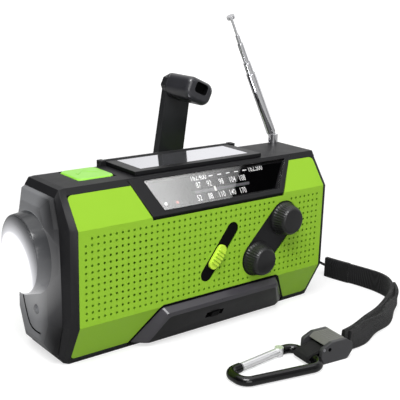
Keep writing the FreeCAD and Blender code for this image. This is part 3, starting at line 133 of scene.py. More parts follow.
def measure(tree, operation, vector, other=None):
    """A length, a distance or a dot product."""
    node = tree.nodes.new("ShaderNodeVectorMath")
    node.operation = operation
    give(tree, vector, node.inputs[0])
    if other is not None:
        node.inputs[1].default_value = other
    return node.outputs["Value"]


def ranged(tree, value, start, end, low=0.0, high=1.0, blend="LINEAR"):
    """What runs from start to end, made to run from low to high."""
    node = tree.nodes.new("ShaderNodeMapRange")
    node.interpolation_type = blend
    give_all(tree, node, {"Value": value, "From Min": start, "From Max": end,
                          "To Min": low, "To Max": high})
    return node.outputs[0]


def mixed(tree, factor, first, second):
    """Two colours that run over into each other."""
    node = tree.nodes.new("ShaderNodeMix")
    node.data_type = "RGBA"
    node.clamp_factor = True
    give(tree, factor, node.inputs["Factor"])
    give(tree, first, node.inputs[6])
    give(tree, second, node.inputs[7])
    return node.outputs[2]


def noise(tree, vector, scale, detail):
    node = tree.nodes.new("ShaderNodeTexNoise")
    give_all(tree, node, {"Vector": vector, "Scale": scale, "Detail": detail})
    return node.outputs["Fac"]


def own_place(tree):
    """The place on the piece, which every pattern starts from."""
    return tree.nodes.new("ShaderNodeTexCoord").outputs["Object"]


def new_group(name, inputs, outputs):
    group = bpy.data.node_groups.new(name, "ShaderNodeTree")
    for label, kind, default in inputs:
        socket = group.interface.new_socket(label, in_out="INPUT", socket_type=kind)
        if default is not None:
            socket.default_value = default
    for label, kind in outputs:
        group.interface.new_socket(label, in_out="OUTPUT", socket_type=kind)
    return group, group.nodes.new("NodeGroupInput"), group.nodes.new("NodeGroupOutput")


DRIFT_SCALE, PATCH_SCALE = 45.0, 160.0


def make_moulded_finish():
    """Fine mould texture, slow colour drift and rubbed patches on a plastic skin."""
    group, given, result = new_group("moulded_finish", [
        ("Vector", VECTOR, None), ("Colour", COLOUR, None), ("Rubbed Colour", COLOUR, None),
        ("Roughness", NUMBER, 0.5), ("Grain Scale", NUMBER, 2500.0), ("Drift", NUMBER, 0.1),
        ("Rubbing", NUMBER, 0.1),
    ], [("Colour", COLOUR), ("Roughness", NUMBER), ("Height", NUMBER)])
    vector = given.outputs["Vector"]
    grain = noise(group, vector, given.outputs["Grain Scale"], 4.0)
    drift = noise(group, vector, DRIFT_SCALE, 2.0)
    patches = noise(group, vector, PATCH_SCALE, 5.0)

    def swing(value, middle, strength):
        return arithmetic(group, "MULTIPLY", arithmetic(group, "SUBTRACT", value, middle),
                          strength)

    shade = arithmetic(group, "ADD", swing(patches, 0.45, given.outputs["Rubbing"]),
                       swing(drift, 0.5, given.outputs["Drift"]))
    give_all(group, result, {
        "Colour": mixed(group, shade, given.outputs["Colour"], given.outputs["Rubbed Colour"]),
        "Roughness": arithmetic(group, "ADD", given.outputs["Roughness"],
                                swing(patches, 0.5, 0.12)),
        "Height": grain})
    return group


def make_woven_band():
    """Ribs across a band and a twill along it, with lighter yarn where the weave stands
    highest.
    """
    group, given, result = new_group("woven_band", [
        ("Vector", VECTOR, None), ("Colour", COLOUR, None), ("Yarn Colour", COLOUR, None),
        ("Rib Scale", NUMBER, 1400.0),
    ], [("Colour", COLOUR), ("Height", NUMBER)])
    waves = []
    for direction in ("X", "Z"):
        wave = group.nodes.new("ShaderNodeTexWave")
        wave.bands_direction = direction
        give_all(group, wave, {"Vector": given.outputs["Vector"], "Distortion": 0.3,
                               "Scale": given.outputs["Rib Scale"], "Detail": 2.0})
        waves.append(wave.outputs["Fac"])
    height = arithmetic(group, "MULTIPLY", *waves)
    give_all(group, result, {
        "Colour": mixed(group, height, given.outputs["Colour"], given.outputs["Yarn Colour"]),
        "Height": height})
    return group


MOULDED = make_moulded_finish()
WOVEN = make_woven_band()


def linear(red, green, blue):
    """A screen colour from 0 to 255 as the shader's own numbers."""
    return tuple(((c / 255 + 0.055) / 1.055) ** 2.4 if c > 10 else c / 3294.6
                 for c in (red, green, blue)) + (1.0,)


def start_material(name):
    material = bpy.data.materials.new(name)
    material.use_nodes = True
    tree = material.node_tree
    return material, tree, tree.nodes["Principled BSDF"]


def place_group(tree, group):
    node = tree.nodes.new("ShaderNodeGroup")
    node.node_tree = group
    give(tree, own_place(tree), node.inputs["Vector"])
    return node


def add_bump(tree, shader, height, depth, edge):
    """Relief of a depth, and edges that look rounded by a radius, in millimetres."""
    bump = tree.nodes.new("ShaderNodeBump")
    give_all(tree, bump, {"Strength": 0.5, "Distance": depth * MM, "Height": height})
    if edge:
        bevel = tree.nodes.new("ShaderNodeBevel")
        bevel.samples = 4
        bevel.inputs["Radius"].default_value = edge * MM
        give(tree, bevel.outputs["Normal"], bump.inputs["Normal"])
    give(tree, bump.outputs["Normal"], shader.inputs["Normal"])


def plastic(name, colour, rubbed, roughness, grain=2500.0, depth=0.04, drift=0.2, rubbing=0.2,
            coat=0.0, edge=0.3, metal=0.0, shine=0.3):
    """A moulded, painted or plated finish with its own grain, drift and rubbing."""
    material, tree, shader = start_material(name)
    skin = place_group(tree, MOULDED)
    give_all(tree, skin, {
        "Colour": linear(*colour), "Rubbed Colour": linear(*rubbed), "Roughness": roughness,
        "Grain Scale": grain, "Drift": drift, "Rubbing": rubbing})
    give_all(tree, shader, {
        "Base Color": skin.outputs["Colour"], "Roughness": skin.outputs["Roughness"],
        "Metallic": metal, "Specular IOR Level": shine, "Coat Weight": coat,
        "Coat Roughness": 0.08})
    add_bump(tree, shader, skin.outputs["Height"], depth, edge)
    return material


def fabric(name, colour, yarn, ribs):
    """A woven finish: the ribs give how fine the weave is."""
    material, tree, shader = start_material(name)
    weave = place_group(tree, WOVEN)
    give_all(tree, weave, {"Colour": linear(*colour), "Yarn Colour": linear(*yarn),
                           "Rib Scale": ribs})
    give_all(tree, shader, {"Base Color": weave.outputs["Colour"], "Roughness": 0.85,
                            "Specular IOR Level": 0.2, "Sheen Weight": 0.1})
    add_bump(tree, shader, weave.outputs["Height"], 0.25, 0)
    return material


def clear(name):
    """A thin clear sheet: nearly all of the light goes through, the rest is mirrored."""
    material, tree, shader = start_material(name)
    skin = place_group(tree, MOULDED)
    give_all(tree, skin, {"Colour": (1, 1, 1, 1), "Rubbed Colour": (0.96, 0.97, 1, 1)})
    give_all(tree, shader, {"Base Color": skin.outputs["Colour"], "Metallic": 1.0,
                            "Roughness": 0.02, "Alpha": 0.1})
    return material


GLOW_CENTRE = (-78.0, 2.0, 42.0)


def lamp_glow(material, near, far, strength):
    """Light that spreads from the lamp and fades between two distances from it, painted on as
    emission: on the lens it is the lamp's own light, on the parts round it painted light.
    """
    tree = material.node_tree
    reach = measure(tree, "DISTANCE", own_place(tree), mm(*GLOW_CENTRE))
    ramp = tree.nodes.new("ShaderNodeValToRGB")
    give(tree, ranged(tree, reach, near * MM, far * MM, 1.0, 0.0, "SMOOTHSTEP"), ramp.inputs[0])
    stops = ramp.color_ramp.elements
    stops[0].color = (0, 0, 0, 1)
    stops[1].color = (strength, strength, strength * 1.01, 1)
    stops.new(0.45).color = (strength * 0.22, strength * 0.22, strength * 0.23, 1)
    give_all(tree, tree.nodes["Principled BSDF"], {"Emission Color": ramp.outputs[0],
                                                   "Emission Strength": 1.0})


def lit_finish(name, colour, rubbed, near, far, strength, roughness=0.2, coat=0.3):
    """A finish near the lamp with the lamp's glow painted on it as emission."""
    material = plastic(name, colour, rubbed, roughness, depth=0.01, coat=coat, edge=0.4)
    lamp_glow(material, near, far, strength)
    return material


def paint_shade_across(material, axis, start, end, colour):
    """Paint shade onto a finish: it runs over into another colour between two places along an
    axis.
    """
    tree = material.node_tree
    base = tree.nodes["Principled BSDF"].inputs["Base Color"]
    split = tree.nodes.new("ShaderNodeSeparateXYZ")
    give(tree, own_place(tree), split.inputs[0])
    reach = ranged(tree, split.outputs[axis], start * MM, end * MM, blend="SMOOTHSTEP")
    give(tree, mixed(tree, reach, base.links[0].from_socket, linear(*colour)), base)


# ---- finishes ----

black_case = plastic("black_case", (21, 21, 23), (38, 38, 41), 0.5, depth=0.05)
green_shell = plastic("green_shell", (141, 187, 48), (156, 202, 62), 0.42, depth=0.02,
                      drift=0.1, rubbing=0.08, edge=0.25, shine=0.2)
# The darker green inside the blind dimples is painted shade in the dimples.
dimple_shade_green = plastic("dimple_shade_green", (88, 132, 22), (98, 144, 30), 0.5, depth=0.01, edge=0,
                       shine=0.1)
bright_key = plastic("bright_green_key", (146, 220, 70), (168, 238, 104), 0.34, depth=0.02,
                     coat=0.2, edge=0.5)
lime_cap = plastic("lime_slider_cap", (192, 228, 66), (212, 238, 110), 0.34, coat=0.15,
                   edge=0.2)
bezel_grey = plastic("smoked_silver_bezel", (112, 113, 115), (128, 129, 131), 0.42, depth=0.02,
                     coat=0.05, edge=0.8, shine=0.2)
# Painted shade: the bezel runs darker from Y -2 to -15 mm, towards its front edge.
paint_shade_across(bezel_grey, "Y", -2.0, -15.0, (15, 15, 17))
# Painted light: the torch's glow painted on the bezel round the lens.
lamp_glow(bezel_grey, 14, 36, 0.2)
# Painted light: the torch's glow painted on the ring round the lens.
ring_grey = lit_finish("lit_lamp_ring", (46, 47, 49), (64, 65, 68), 9, 25, 0.75)
glowing_lens = lit_finish("glowing_lens", (58, 59, 61), (72, 73, 75), 7, 23, 3.0, 0.06, 0.5)
block_face = plastic("charcoal_face", (10, 10, 12), (20, 20, 23), 0.36, depth=0.02, coat=0.1,
                     shine=0.25)
block_rim = plastic("charcoal_rim", (58, 56, 61), (84, 82, 88), 0.3, depth=0.02, coat=0.3,
                    edge=0.4)
knob_black = plastic("knob_black", (29, 29, 30), (62, 62, 64), 0.36, depth=0.03, coat=0.15)
# This near-black finish is painted shade: it darkens holes, slots, wells and gaps where shade
# falls.
recess_shade_black = plastic("recess_shade_black", (7, 7, 8), (12, 12, 14), 0.6, depth=0.03, shine=0.08)
gloss_black = plastic("gloss_black", (44, 44, 48), (68, 68, 73), 0.3, depth=0.01, coat=0.3,
                      edge=0.3, shine=0.5)
arm_black = plastic("arm_black", (32, 33, 35), (52, 53, 56), 0.34, depth=0.02, coat=0.2,
                    edge=0.4)
frame_gloss = plastic("lid_frame_gloss", (16, 16, 18), (32, 32, 35), 0.38, depth=0.02,
                      coat=0.05, edge=0.4, shine=0.2)
cell_face = plastic("solar_cell_face", (232, 232, 238), (240, 240, 244), 0.05, grain=300.0,
                    depth=0.001, drift=0.2, rubbing=0.1, metal=0.95, edge=0)
chrome = plastic("chrome_plate", (240, 240, 243), (210, 210, 214), 0.08, grain=900.0,
                 depth=0.002, drift=0.05, metal=1.0, edge=0.1)
bright_wire = plastic("bright_wire", (246, 246, 248), (220, 220, 222), 0.14, grain=900.0,
                      depth=0.002, drift=0.05, metal=0.6, edge=0.1)
steel = plastic("plain_steel", (160, 160, 164), (120, 118, 115), 0.32, metal=1.0, edge=0.1)
hook_black = plastic("hook_black", (10, 10, 11), (34, 34, 36), 0.18, depth=0.01, coat=0.25,
                     edge=0)
buckle_black = plastic("buckle_black", (56, 56, 58), (82, 82, 84), 0.36, coat=0.15, edge=0.4)
plate_grey = plastic("buckle_plate_grey", (106, 106, 102), (134, 134, 130), 0.4, grain=900.0,
                     depth=0.12, edge=0.3)
dial_black = plastic("dial_black", (5, 5, 6), (8, 8, 9), 0.6, depth=0.01, edge=0, shine=0.0)
groove_grey = plastic("groove_grey", (96, 96, 100), (120, 120, 124), 0.5, edge=0, shine=0.1)
print_white = plastic("print_white", (252, 252, 252), (235, 235, 235), 0.5, edge=0)
pointer_paint = plastic("pointer_paint", (250, 250, 246), (225, 222, 218), 0.4)
red_lamp = plastic("red_lamp", (205, 118, 104), (160, 70, 60), 0.3, coat=0.4)
milky = plastic("milky_lamp", (120, 121, 124), (160, 160, 162), 0.14, coat=0.5)
board_green = plastic("board_green", (34, 92, 46), (60, 120, 70), 0.4, grain=700.0)
acetal = plastic("natural_acetal", (226, 222, 208), (205, 200, 186), 0.42)
component_grey = plastic("component_grey", (92, 92, 96), (120, 120, 124), 0.55)
cell_wrap = plastic("cell_wrap", (52, 92, 150), (86, 122, 172), 0.35, coat=0.3)
soft_rubber = plastic("soft_rubber", (38, 38, 39), (60, 60, 61), 0.75)
webbing = fabric("woven_webbing", (13, 13, 14), (36, 36, 38), 1400.0)
loop_cloth = fabric("loop_cloth", (8, 8, 9), (26, 26, 27), 1700.0)
window_clear = clear("window_clear")

NODE_FINISHES = {
    black_case: ["front_housing", "top_deck", "end_cap", "torch_frame", "crank_turret",
                 "gear_plate", "dial_bezel", "crank_hub", "battery_door"],
    arm_black: ["crank_arm"],
    green_shell: ["front_panel", "rear_housing"],
    lime_cap: ["band_slider"],
    bright_key: ["power_button"],
    bezel_grey: ["torch_bezel"],
    block_face: ["base_block"],
    knob_black: ["tuning_knob", "volume_knob"],
    # The selector slider is painted near-black, as painted shade in its well.
    recess_shade_black: ["selector_slider"],
    frame_gloss: ["solar_lid"],
    gloss_black: ["crank_grip"],
    window_clear: ["dial_window"],
    glowing_lens: ["torch_lens"],
    dial_black: ["dial_scale"],
    pointer_paint: ["dial_pointer"],
    milky: ["reading_lamp", "charge_lamp", "torch_led"],
    chrome: ["torch_reflector", "antenna_socket", "antenna_knuckle", "antenna_section_a",
             "antenna_section_b", "antenna_section_c", "antenna_section_d", "antenna_rod"],
    bright_wire: ["carabiner_gate"],
    cell_face: ["solar_panel"],
    hook_black: ["carabiner"],
    steel: ["fold_pin", "crank_shaft", "case_screws", "stator", "power_spring", "usb_port"],
    acetal: ["drive_gear", "idler_gear", "generator_rotor"],
    board_green: ["circuit_board"],
    component_grey: ["control_pots", "band_switch", "speaker", "ferrite_rod"],
    cell_wrap: ["battery_pack", "aaa_cells"],
    soft_rubber: ["port_cover"],
    webbing: ["strap_webbing", "strap_cord"],
    loop_cloth: ["strap_loop"],
    buckle_black: ["strap_buckle"],
}
for finish, names in NODE_FINISHES.items():
    for name in names:
        data = nodes[name].data
        data.materials.clear()
        data.materials.append(finish)

BODY_OF = {name: body for body, names in frame["record"]["behaviour"]["bodies"].items()
           for name in names}

# ---- ways to make a piece ----


def add_piece(name, mesh, node, *materials):
    """Show a mesh that rides with a node's body and takes its material slot."""
    for material in materials:
        mesh.materials.append(material)
    piece = new_object(name, mesh)
    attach(piece, BODY_OF[node])
    return piece


def mesh_from(name, build):
    shell = bmesh.new()
    build(shell)
    bmesh.ops.recalc_face_normals(shell, faces=shell.faces)
    mesh = bpy.data.meshes.new(name)
    shell.to_mesh(mesh)
    shell.free()
    return mesh


def shaped(name, build, node, *materials):
    """A piece whose mesh is made by a building function."""
    return add_piece(name, mesh_from(name, build), node, *materials)


def prism(shell, outline, low, high, to_world):
    """An outline in a local XY plane, raised from low to high, all in millimetres."""
    rings = [[shell.verts.new(to_world @ mm(x, y, level)) for x, y in outline]
             for level in (low, high)]
    shell.faces.new(rings[0][::-1])
    shell.faces.new(rings[1])
    count = len(outline)
    for index in range(count):
        after = (index + 1) % count
        shell.faces.new((rings[0][index], rings[0][after], rings[1][after], rings[1][index]))


def rounded(points, radii, steps=6):
    """An outline with its corners turned into arcs of the given radii."""
    result = []
    for index, corner in enumerate(points):
        radius = radii[index] if isinstance(radii, (list, tuple)) else radii
        here = Vector(corner)
        before = (Vector(points[index - 1]) - here).normalized()
        after = (Vector(points[(index + 1) % len(points)]) - here).normalized()
        half = before.angle(after) / 2
        centre = here + (before + after).normalized() * (radius / math.sin(half))
        start = here + before * (radius / math.tan(half)) - centre
        end = here + after * (radius / math.tan(half)) - centre
        for step in range(steps + 1):
            way = start.lerp(end, step / steps).normalized() * radius
            result.append(tuple(centre + way))
    return result


def join_rings(shell, rings):
    """Faces from each ring to the next, and one over each end."""
    for lower, upper in zip(rings, rings[1:]):
        for index in range(len(lower)):
            after = (index + 1) % len(lower)
            shell.faces.new((lower[index], lower[after], upper[after], upper[index]))
    shell.faces.new(rings[0][::-1])
    shell.faces.new(rings[-1])


def loft(shell, levels, to_world):
    """Outlines with equal numbers of points, joined from the lowest level up."""
    join_rings(shell, [[shell.verts.new(to_world @ mm(x, y, level)) for x, y in outline]
                       for outline, level in levels])


def stadium(reach, radius, middle, turn, steps=14):
    """A slot outline round two centres, turned up from X by an angle in degrees."""
    angle = math.radians(turn)
    along = (math.cos(angle), math.sin(angle))
    points = []
    for side in (1, -1):
        for step in range(steps + 1):
            swing = angle - math.pi / 2 + math.pi * step / steps + (0 if side == 1 else math.pi)
            points.append((middle[0] + side * along[0] * reach / 2 + radius * math.cos(swing),
                           middle[1] + side * along[1] * reach / 2 + radius * math.sin(swing)))
    return points


FRONT_FACE = Matrix(((1, 0, 0, 0), (0, 0, -1, 0), (0, 1, 0, 0), (0, 0, 0, 1)))
UPRIGHT = Matrix(((1, 0, 0, 0), (0, 0, 1, 0), (0, 1, 0, 0), (0, 0, 0, 1)))


def front_at(y):
    """Local XY on the front, with Z pointing out of it."""
    return placed(0, y, 0) @ FRONT_FACE


BEVEL_FROM = math.radians(28)
SHARP_FROM = math.radians(35)
FLAT_WITHIN = math.radians(1.5)
SAME_PLACE = 0.004


def bevelled(piece, width):
    """Round the edges that turn by more than BEVEL_FROM."""
    edge = piece.modifiers.new("edge", "BEVEL")
    edge.width = width * MM
    edge.segments = 3
    edge.limit_method = "ANGLE"
    edge.angle_limit = BEVEL_FROM
    edge.harden_normals = False


def smoothed(mesh):
    """Shade smoothly, apart from edges that turn by more than SHARP_FROM."""
    mesh.shade_smooth()
    mesh.set_sharp_from_angle(angle=SHARP_FROM)
    return mesh


def softened(name, node, width, *materials):
    """The node's own shape with its edges rounded, shown in its place."""
    shell = bmesh.new()
    shell.from_mesh(nodes[node].data)
    bmesh.ops.remove_doubles(shell, verts=shell.verts, dist=SAME_PLACE * MM)
    bmesh.ops.dissolve_limit(shell, angle_limit=FLAT_WITHIN, verts=shell.verts,
                             edges=shell.edges)
    mesh = bpy.data.meshes.new(name)
    shell.to_mesh(mesh)
    shell.free()
    piece = add_piece(name, mesh, node, *materials)
    bevelled(piece, width)
    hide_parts(node)
    return piece


def over_outline(place, outline, slack):
    """True where a place is in the box round an outline, widened by a slack."""
    across, up = zip(*outline)
    return (min(across) - slack < place.x < max(across) + slack
            and min(up) - slack < place.y < max(up) + slack)


def turned(shell, rings, steps, to_world, ribs=None):
    """Rings of (radius, height) round local Z. Ribs: which rings have them, how high."""
    loops = []
    for number, (radius, height) in enumerate(rings):
        loop = []
        for step in range(steps):
            angle = 2 * math.pi * step / steps
            raised = ribs and number in ribs[0] and step % 4 < 2
            reach = radius + (ribs[1] if raised else 0)
            loop.append(shell.verts.new(to_world @ mm(reach * math.cos(angle),
                                                      reach * math.sin(angle), height)))
        loops.append(loop)
    join_rings(shell, loops)


# ---- strap: cord, webbing and what is on them ----

CORD_ROUTE = [(82, 4, 18), (90, 4, 18), (97.5, 3.2, 13.6), (103.6, 1.0, 8.4),
              (107.4, -3.6, 6.2)]
CORD_RADIUS = 0.7
WEBBING_ROUTE = [
    (107.0, -2.4), (108.2, -10.5), (110.2, -18.4), (111.4, -26.5), (112.8, -34.5),
    (111.6, -42.6), (106.4, -49.4), (99.2, -54.4), (91.3, -58.8), (83.0, -62.6),
    (74.4, -66.0), (65.8, -68.8), (57.0, -71.4), (48.8, -73.0), (42.8, -73.7),
]
WEBBING_MIDDLE = 5.8
BAND_SECTION = [(-1, -0.9), (-0.7, -1), (0.7, -1), (1, -0.9), (1, 0), (1, 0.9), (0.7, 1),
                (-0.7, 1), (-1, 0.9), (-1, 0)]
SLEEVE_REACH = 15.5


def nurbs_line(name, points):
    data = bpy.data.curves.new(name, "CURVE")
    data.dimensions = "3D"
    data.resolution_u = 12
    spline = data.splines.new("NURBS")
    spline.points.add(len(points) - 1)
    for control, point in zip(spline.points, points):
        control.co = (*mm(*point), 1.0)
    spline.order_u = 3
    spline.use_endpoint_u = True
    return new_object(name, data)


def line_points(line):
    """Where the smooth line runs, read from the line itself."""
    bpy.context.view_layer.update()
    mesh = bpy.data.meshes.new_from_object(line.evaluated_get(
        bpy.context.evaluated_depsgraph_get()))
    points = [vertex.co.copy() for vertex in mesh.vertices]
    bpy.data.meshes.remove(mesh)
    return points


strap_cord = nurbs_line("thin_strap_cord", CORD_ROUTE)
strap_cord.data.bevel_depth = CORD_RADIUS * MM
strap_cord.data.bevel_resolution = 4
strap_cord.data.use_fill_caps = True
strap_cord.data.materials.append(loop_cloth)
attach(strap_cord, "case")
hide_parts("strap_cord")

webbing_guide = nurbs_line("webbing_guide", [(x, y, WEBBING_MIDDLE) for x, y in WEBBING_ROUTE])
webbing_line = line_points(webbing_guide)
bpy.data.objects.remove(webbing_guide)


def band_along(shell, line, half_width, half_thick, aside, sway):
    """A flat band on edge along a line: aside shifts it sideways, sway tips its top."""
    rings = []
    travelled = 0.0
    for index, point in enumerate(line):
        before, after = line[max(index - 1, 0)], line[min(index + 1, len(line) - 1)]
        ahead = (after - before).normalized()
        side = ahead.cross(Vector((0, 0, 1))).normalized()
        if index:
            travelled += (point - line[index - 1]).length / MM
        shift = aside(travelled)
        wide, thick, lean = half_width(travelled), half_thick(travelled), sway(travelled)
        ring = []
        for across, up in BAND_SECTION:
            offset = (shift + across * thick + up * lean) * MM
            ring.append(shell.verts.new(point + side * offset + Vector((0, 0, up * wide * MM))))
        rings.append(ring)
    join_rings(shell, rings)


def wavy(length, size, offset=0.0):
    """A swing to both sides that repeats after a length of band."""
    return lambda run: size * math.sin(2 * math.pi * run / length + offset)


def band_piece(name, finish, *shape):
    """A piece of webbing: its shape is what band_along asks for."""
    mesh = mesh_from(name, lambda shell: band_along(shell, *shape))
    return add_piece(name, smoothed(mesh), "strap_webbing", finish)


strap_band = band_piece(
    "strap_band", webbing, webbing_line, lambda run: 5.35 + 0.12 * math.sin(run / 5.0),
    lambda run: 1.0, wavy(31.0, 0.22), wavy(43.0, 0.3, 0.8))
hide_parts("strap_webbing")
sewn_sleeve = band_piece(
    "sewn_sleeve", loop_cloth,
    [point for point in webbing_line if (point - webbing_line[0]).length < SLEEVE_REACH * MM],
    lambda run: 5.5, lambda run: 1.3, lambda run: 0.0, lambda run: 0.0)
inner_layer = band_piece(
    "inner_strap_layer", webbing, webbing_line[len(webbing_line) * 2 // 5:-2],
    lambda run: 5.1 + 0.2 * math.sin(run / 4), lambda run: 0.8,
    lambda run: -2.0 - 1.1 * math.sin(math.pi * min(run / 60.0, 1.0)), wavy(29.0, 0.7, 1.6))

BUCKLE_X, BUCKLE_Y, BUCKLE_TURN = 35.0, -71.2, -7.0
BUCKLE = placed(BUCKLE_X, BUCKLE_Y, 0) @ rotated(BUCKLE_TURN, "Z")
CHEEK_THICK = 2.0
CHEEK_STARTS = (-7.5, 5.5)
INNER_HALF = 5.55
CHEEK_SIDE = rounded([(-8.4, 0.1), (6.4, 0.1), (9.0, 3.6), (8.8, 7.4), (5.4, 9.7), (-3.0, 9.7),
                      (-8.2, 7.4)], [0.8, 1.8, 1.6, 1.6, 1.8, 2.2, 1.6])
FLOOR_SIDE = [(-8.2, 0.3), (6.9, 0.3), (7.4, 2.0), (-8.2, 2.0)]
FRONT_SIDE = [(2.8, 1.9), (8.4, 3.6), (8.3, 7.2), (5.8, 9.1), (2.8, 9.1)]
LEVER_SIDE = [(-4.6, 7.2), (-3.0, 8.6), (5.2, 9.1), (5.5, 9.7), (-3.0, 9.7), (-5.4, 8.0)]
LEVER_HALF = 5.5
LOOP_SIDE = [(-4.0, 1.0), (-11.6, 0.3), (-13.6, 1.0), (-14.6, 2.4), (-13.7, 3.9), (-11.6, 4.6),
             (-4.0, 6.4), (-4.0, 5.0), (-11.6, 3.4), (-12.8, 2.4), (-11.6, 1.4), (-4.0, 2.2)]
LOOP_HALF = 4.6
HATCH_ROWS, HATCH_COLUMNS = 5, 6
HATCH_FIRST = (-1.9, -4.0)
HATCH_PITCH = (1.5, 1.6)
HATCH_SIDE = [(-0.45, 9.6), (0.45, 9.6), (0.45, 9.8), (-0.45, 9.8)]
HATCH_WIDE = 1.0


def buckle_plate(shell, start, thick, outline):
    """A plate with an outline seen from the buckle's side, from start across."""
    prism(shell, outline, start, start + thick, BUCKLE @ UPRIGHT)


def buckle_box(shell):
    for start in CHEEK_STARTS:
        buckle_plate(shell, start, CHEEK_THICK, CHEEK_SIDE)
    for side in (FLOOR_SIDE, FRONT_SIDE):
        buckle_plate(shell, -INNER_HALF, INNER_HALF * 2, side)


def lever_plate(shell):
    buckle_plate(shell, -LEVER_HALF, LEVER_HALF * 2, LEVER_SIDE)


def loop_plate(shell):
    buckle_plate(shell, -LOOP_HALF, LOOP_HALF * 2, LOOP_SIDE)


def lever_hatching(shell):
    for row in range(HATCH_ROWS):
        for column in range(HATCH_COLUMNS):
            x = HATCH_FIRST[0] + row * HATCH_PITCH[0]
            y = HATCH_FIRST[1] + column * HATCH_PITCH[1]
            buckle_plate(shell, y - HATCH_WIDE / 2, HATCH_WIDE,
                         [(x + along, up) for along, up in HATCH_SIDE])


def peg(shell, x, z, radius, start, length):
    """A round peg across the buckle."""
    turned(shell, [(radius, 0), (radius, length)], 20,
           BUCKLE @ placed(x, start, z) @ rotated(-90, "X"))


buckle_body = shaped("buckle_body", buckle_box, "strap_buckle", buckle_black)
bevelled(buckle_body, 0.3)
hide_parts("strap_buckle")
cam_lever = shaped("cam_lever", lever_plate, "strap_buckle", plate_grey)
bevelled(cam_lever, 0.2)
fabric_loop = shaped("fabric_loop", loop_plate, "strap_loop", loop_cloth)
bevelled(fabric_loop, 0.3)
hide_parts("strap_loop")
hatching = shaped("lever_hatching", lever_hatching, "strap_buckle", plate_grey)
buckle_pin = shaped("buckle_pin", lambda shell: peg(shell, -7.0, 6.9, 0.65, -7.6, 1.4),
                    "strap_buckle", steel)
# A near-black disc where the pin's hole is: painted shade in the hole.
pin_hole = shaped("pin_hole", lambda shell: peg(shell, -4.0, 6.6, 0.85, -7.54, 0.5),
                  "strap_buckle", dial_black)

# ---- green front skin with its grid of dimples ----

PITCH = 2.92
COLUMNS = 46
ROWS = 13
FIRST_COLUMN = -58.2
TOP_ROW = 57.8
DIMPLE_RADIUS = 0.58
DIMPLE_DEPTH = 0.45
SPEAKER_HOLE_DEPTH = 2.0
SLOT_MIDDLE = (11.7, 39.2)
SLOT_TURN = 52.8
SLOT_REACH = 24.1
SLOT_RADIUS = 3.35
SLOT_CLEAR = 4.3
KNOBS_MIDDLE = (42.75, 40.15)
KNOBS_TURN = 46.0
KNOBS_REACH = 23.73
KNOBS_RADIUS = 8.8
KNOBS_CLEAR = 10.0
SPEAKER = (-34.84, 40.3)
MOUTH = 16.5
PANEL_LEFT = -61.5
PANEL_RIGHT = 77.3
PANEL_OUT = [(-14.95, 74.3), (FRONT_Y, FLAT_HIGH), (FRONT_Y, FLAT_LOW), (-15.57, 2.75)]
PANEL_IN = [(-14.23, 2.75), (-22.8, 19.98), (-22.8, 61.12), (-13.47, 74.3)]
DIAL_HOLE = [(-25.4, -1.0), (50.1, -1.0), (63.1, 18.4), (-31.9, 18.4)]
UPPER_EDGE = 15.67
LOWER_EDGE = 3.08
CORNER_RADIUS = 2.2
CORNER_STEPS = 8


def clear_of_slots(x, z):
    """True where a dimple has green skin round it."""
    for reach, radius, middle, turn in ((KNOBS_REACH, KNOBS_CLEAR, KNOBS_MIDDLE, KNOBS_TURN),
                                        (SLOT_REACH, SLOT_CLEAR, SLOT_MIDDLE, SLOT_TURN)):
        angle = math.radians(turn)
        run = (x - middle[0]) * math.cos(angle) + (z - middle[1]) * math.sin(angle)
        run = max(-reach / 2, min(reach / 2, run))
        near = (middle[0] + run * math.cos(angle), middle[1] + run * math.sin(angle))
        if math.hypot(x - near[0], z - near[1]) < radius:
            return False
    return True


def dimple_spots():
    """The grid's places, without one at each of two corners of the flat."""
    for column in range(COLUMNS):
        for row in range(ROWS):
            x, z = FIRST_COLUMN + column * PITCH, TOP_ROW - row * PITCH
            corner = (column, row) in ((0, 0), (COLUMNS - 1, ROWS - 1))
            if not corner and clear_of_slots(x, z):
                yield x, z


def cutter(name, build):
    """A solid that only serves to carve with."""
    return new_object(name, mesh_from(name, build))


def carve(piece, tool):
    """Take a tool's shape out of a piece for good and drop the tool."""
    step = piece.modifiers.new("carve", "BOOLEAN")
    step.object = tool
    step.solver = "EXACT"
    bpy.context.view_layer.update()
    carved = bpy.data.meshes.new_from_object(piece.evaluated_get(
        bpy.context.evaluated_depsgraph_get()))
    piece.modifiers.clear()
    old = piece.data
    piece.data = carved
    bpy.data.meshes.remove(old)
    bpy.data.objects.remove(tool)


def carve_prism(piece, name, outline, low, high, to_world):
    carve(piece, cutter(name, lambda shell: prism(shell, outline, low, high, to_world)))


def panel_shape(shell):
    sideways = Matrix(((0, 0, 1, 0), (1, 0, 0, 0), (0, 1, 0, 0), (0, 0, 0, 1)))
    prism(shell, PANEL_OUT + PANEL_IN, PANEL_LEFT, PANEL_RIGHT, sideways)


def dimples(shell):
    """Pins that leave dimples, and go right through in front of the speaker."""
    for x, z in dimple_spots():
        through = math.hypot(x - SPEAKER[0], z - SPEAKER[1]) < MOUTH
        depth = SPEAKER_HOLE_DEPTH if through else DIMPLE_DEPTH
        turned(shell, [(DIMPLE_RADIUS, -depth), (DIMPLE_RADIUS, 1.0)], 8,
               placed(x, FRONT_Y, z) @ FRONT_FACE)


green_skin = shaped("green_skin", panel_shape, "front_panel", green_shell, dimple_shade_green)
carve_prism(green_skin, "dial_opening", DIAL_HOLE, -4, 4, UPPER_FACE)
carve_prism(green_skin, "knob_opening",
            stadium(KNOBS_REACH, KNOBS_RADIUS, KNOBS_MIDDLE, KNOBS_TURN), -3, 3,
            front_at(FRONT_Y))
carve_prism(green_skin, "slider_opening",
            stadium(SLOT_REACH, SLOT_RADIUS, SLOT_MIDDLE, SLOT_TURN), -3, 3,
            front_at(FRONT_Y))


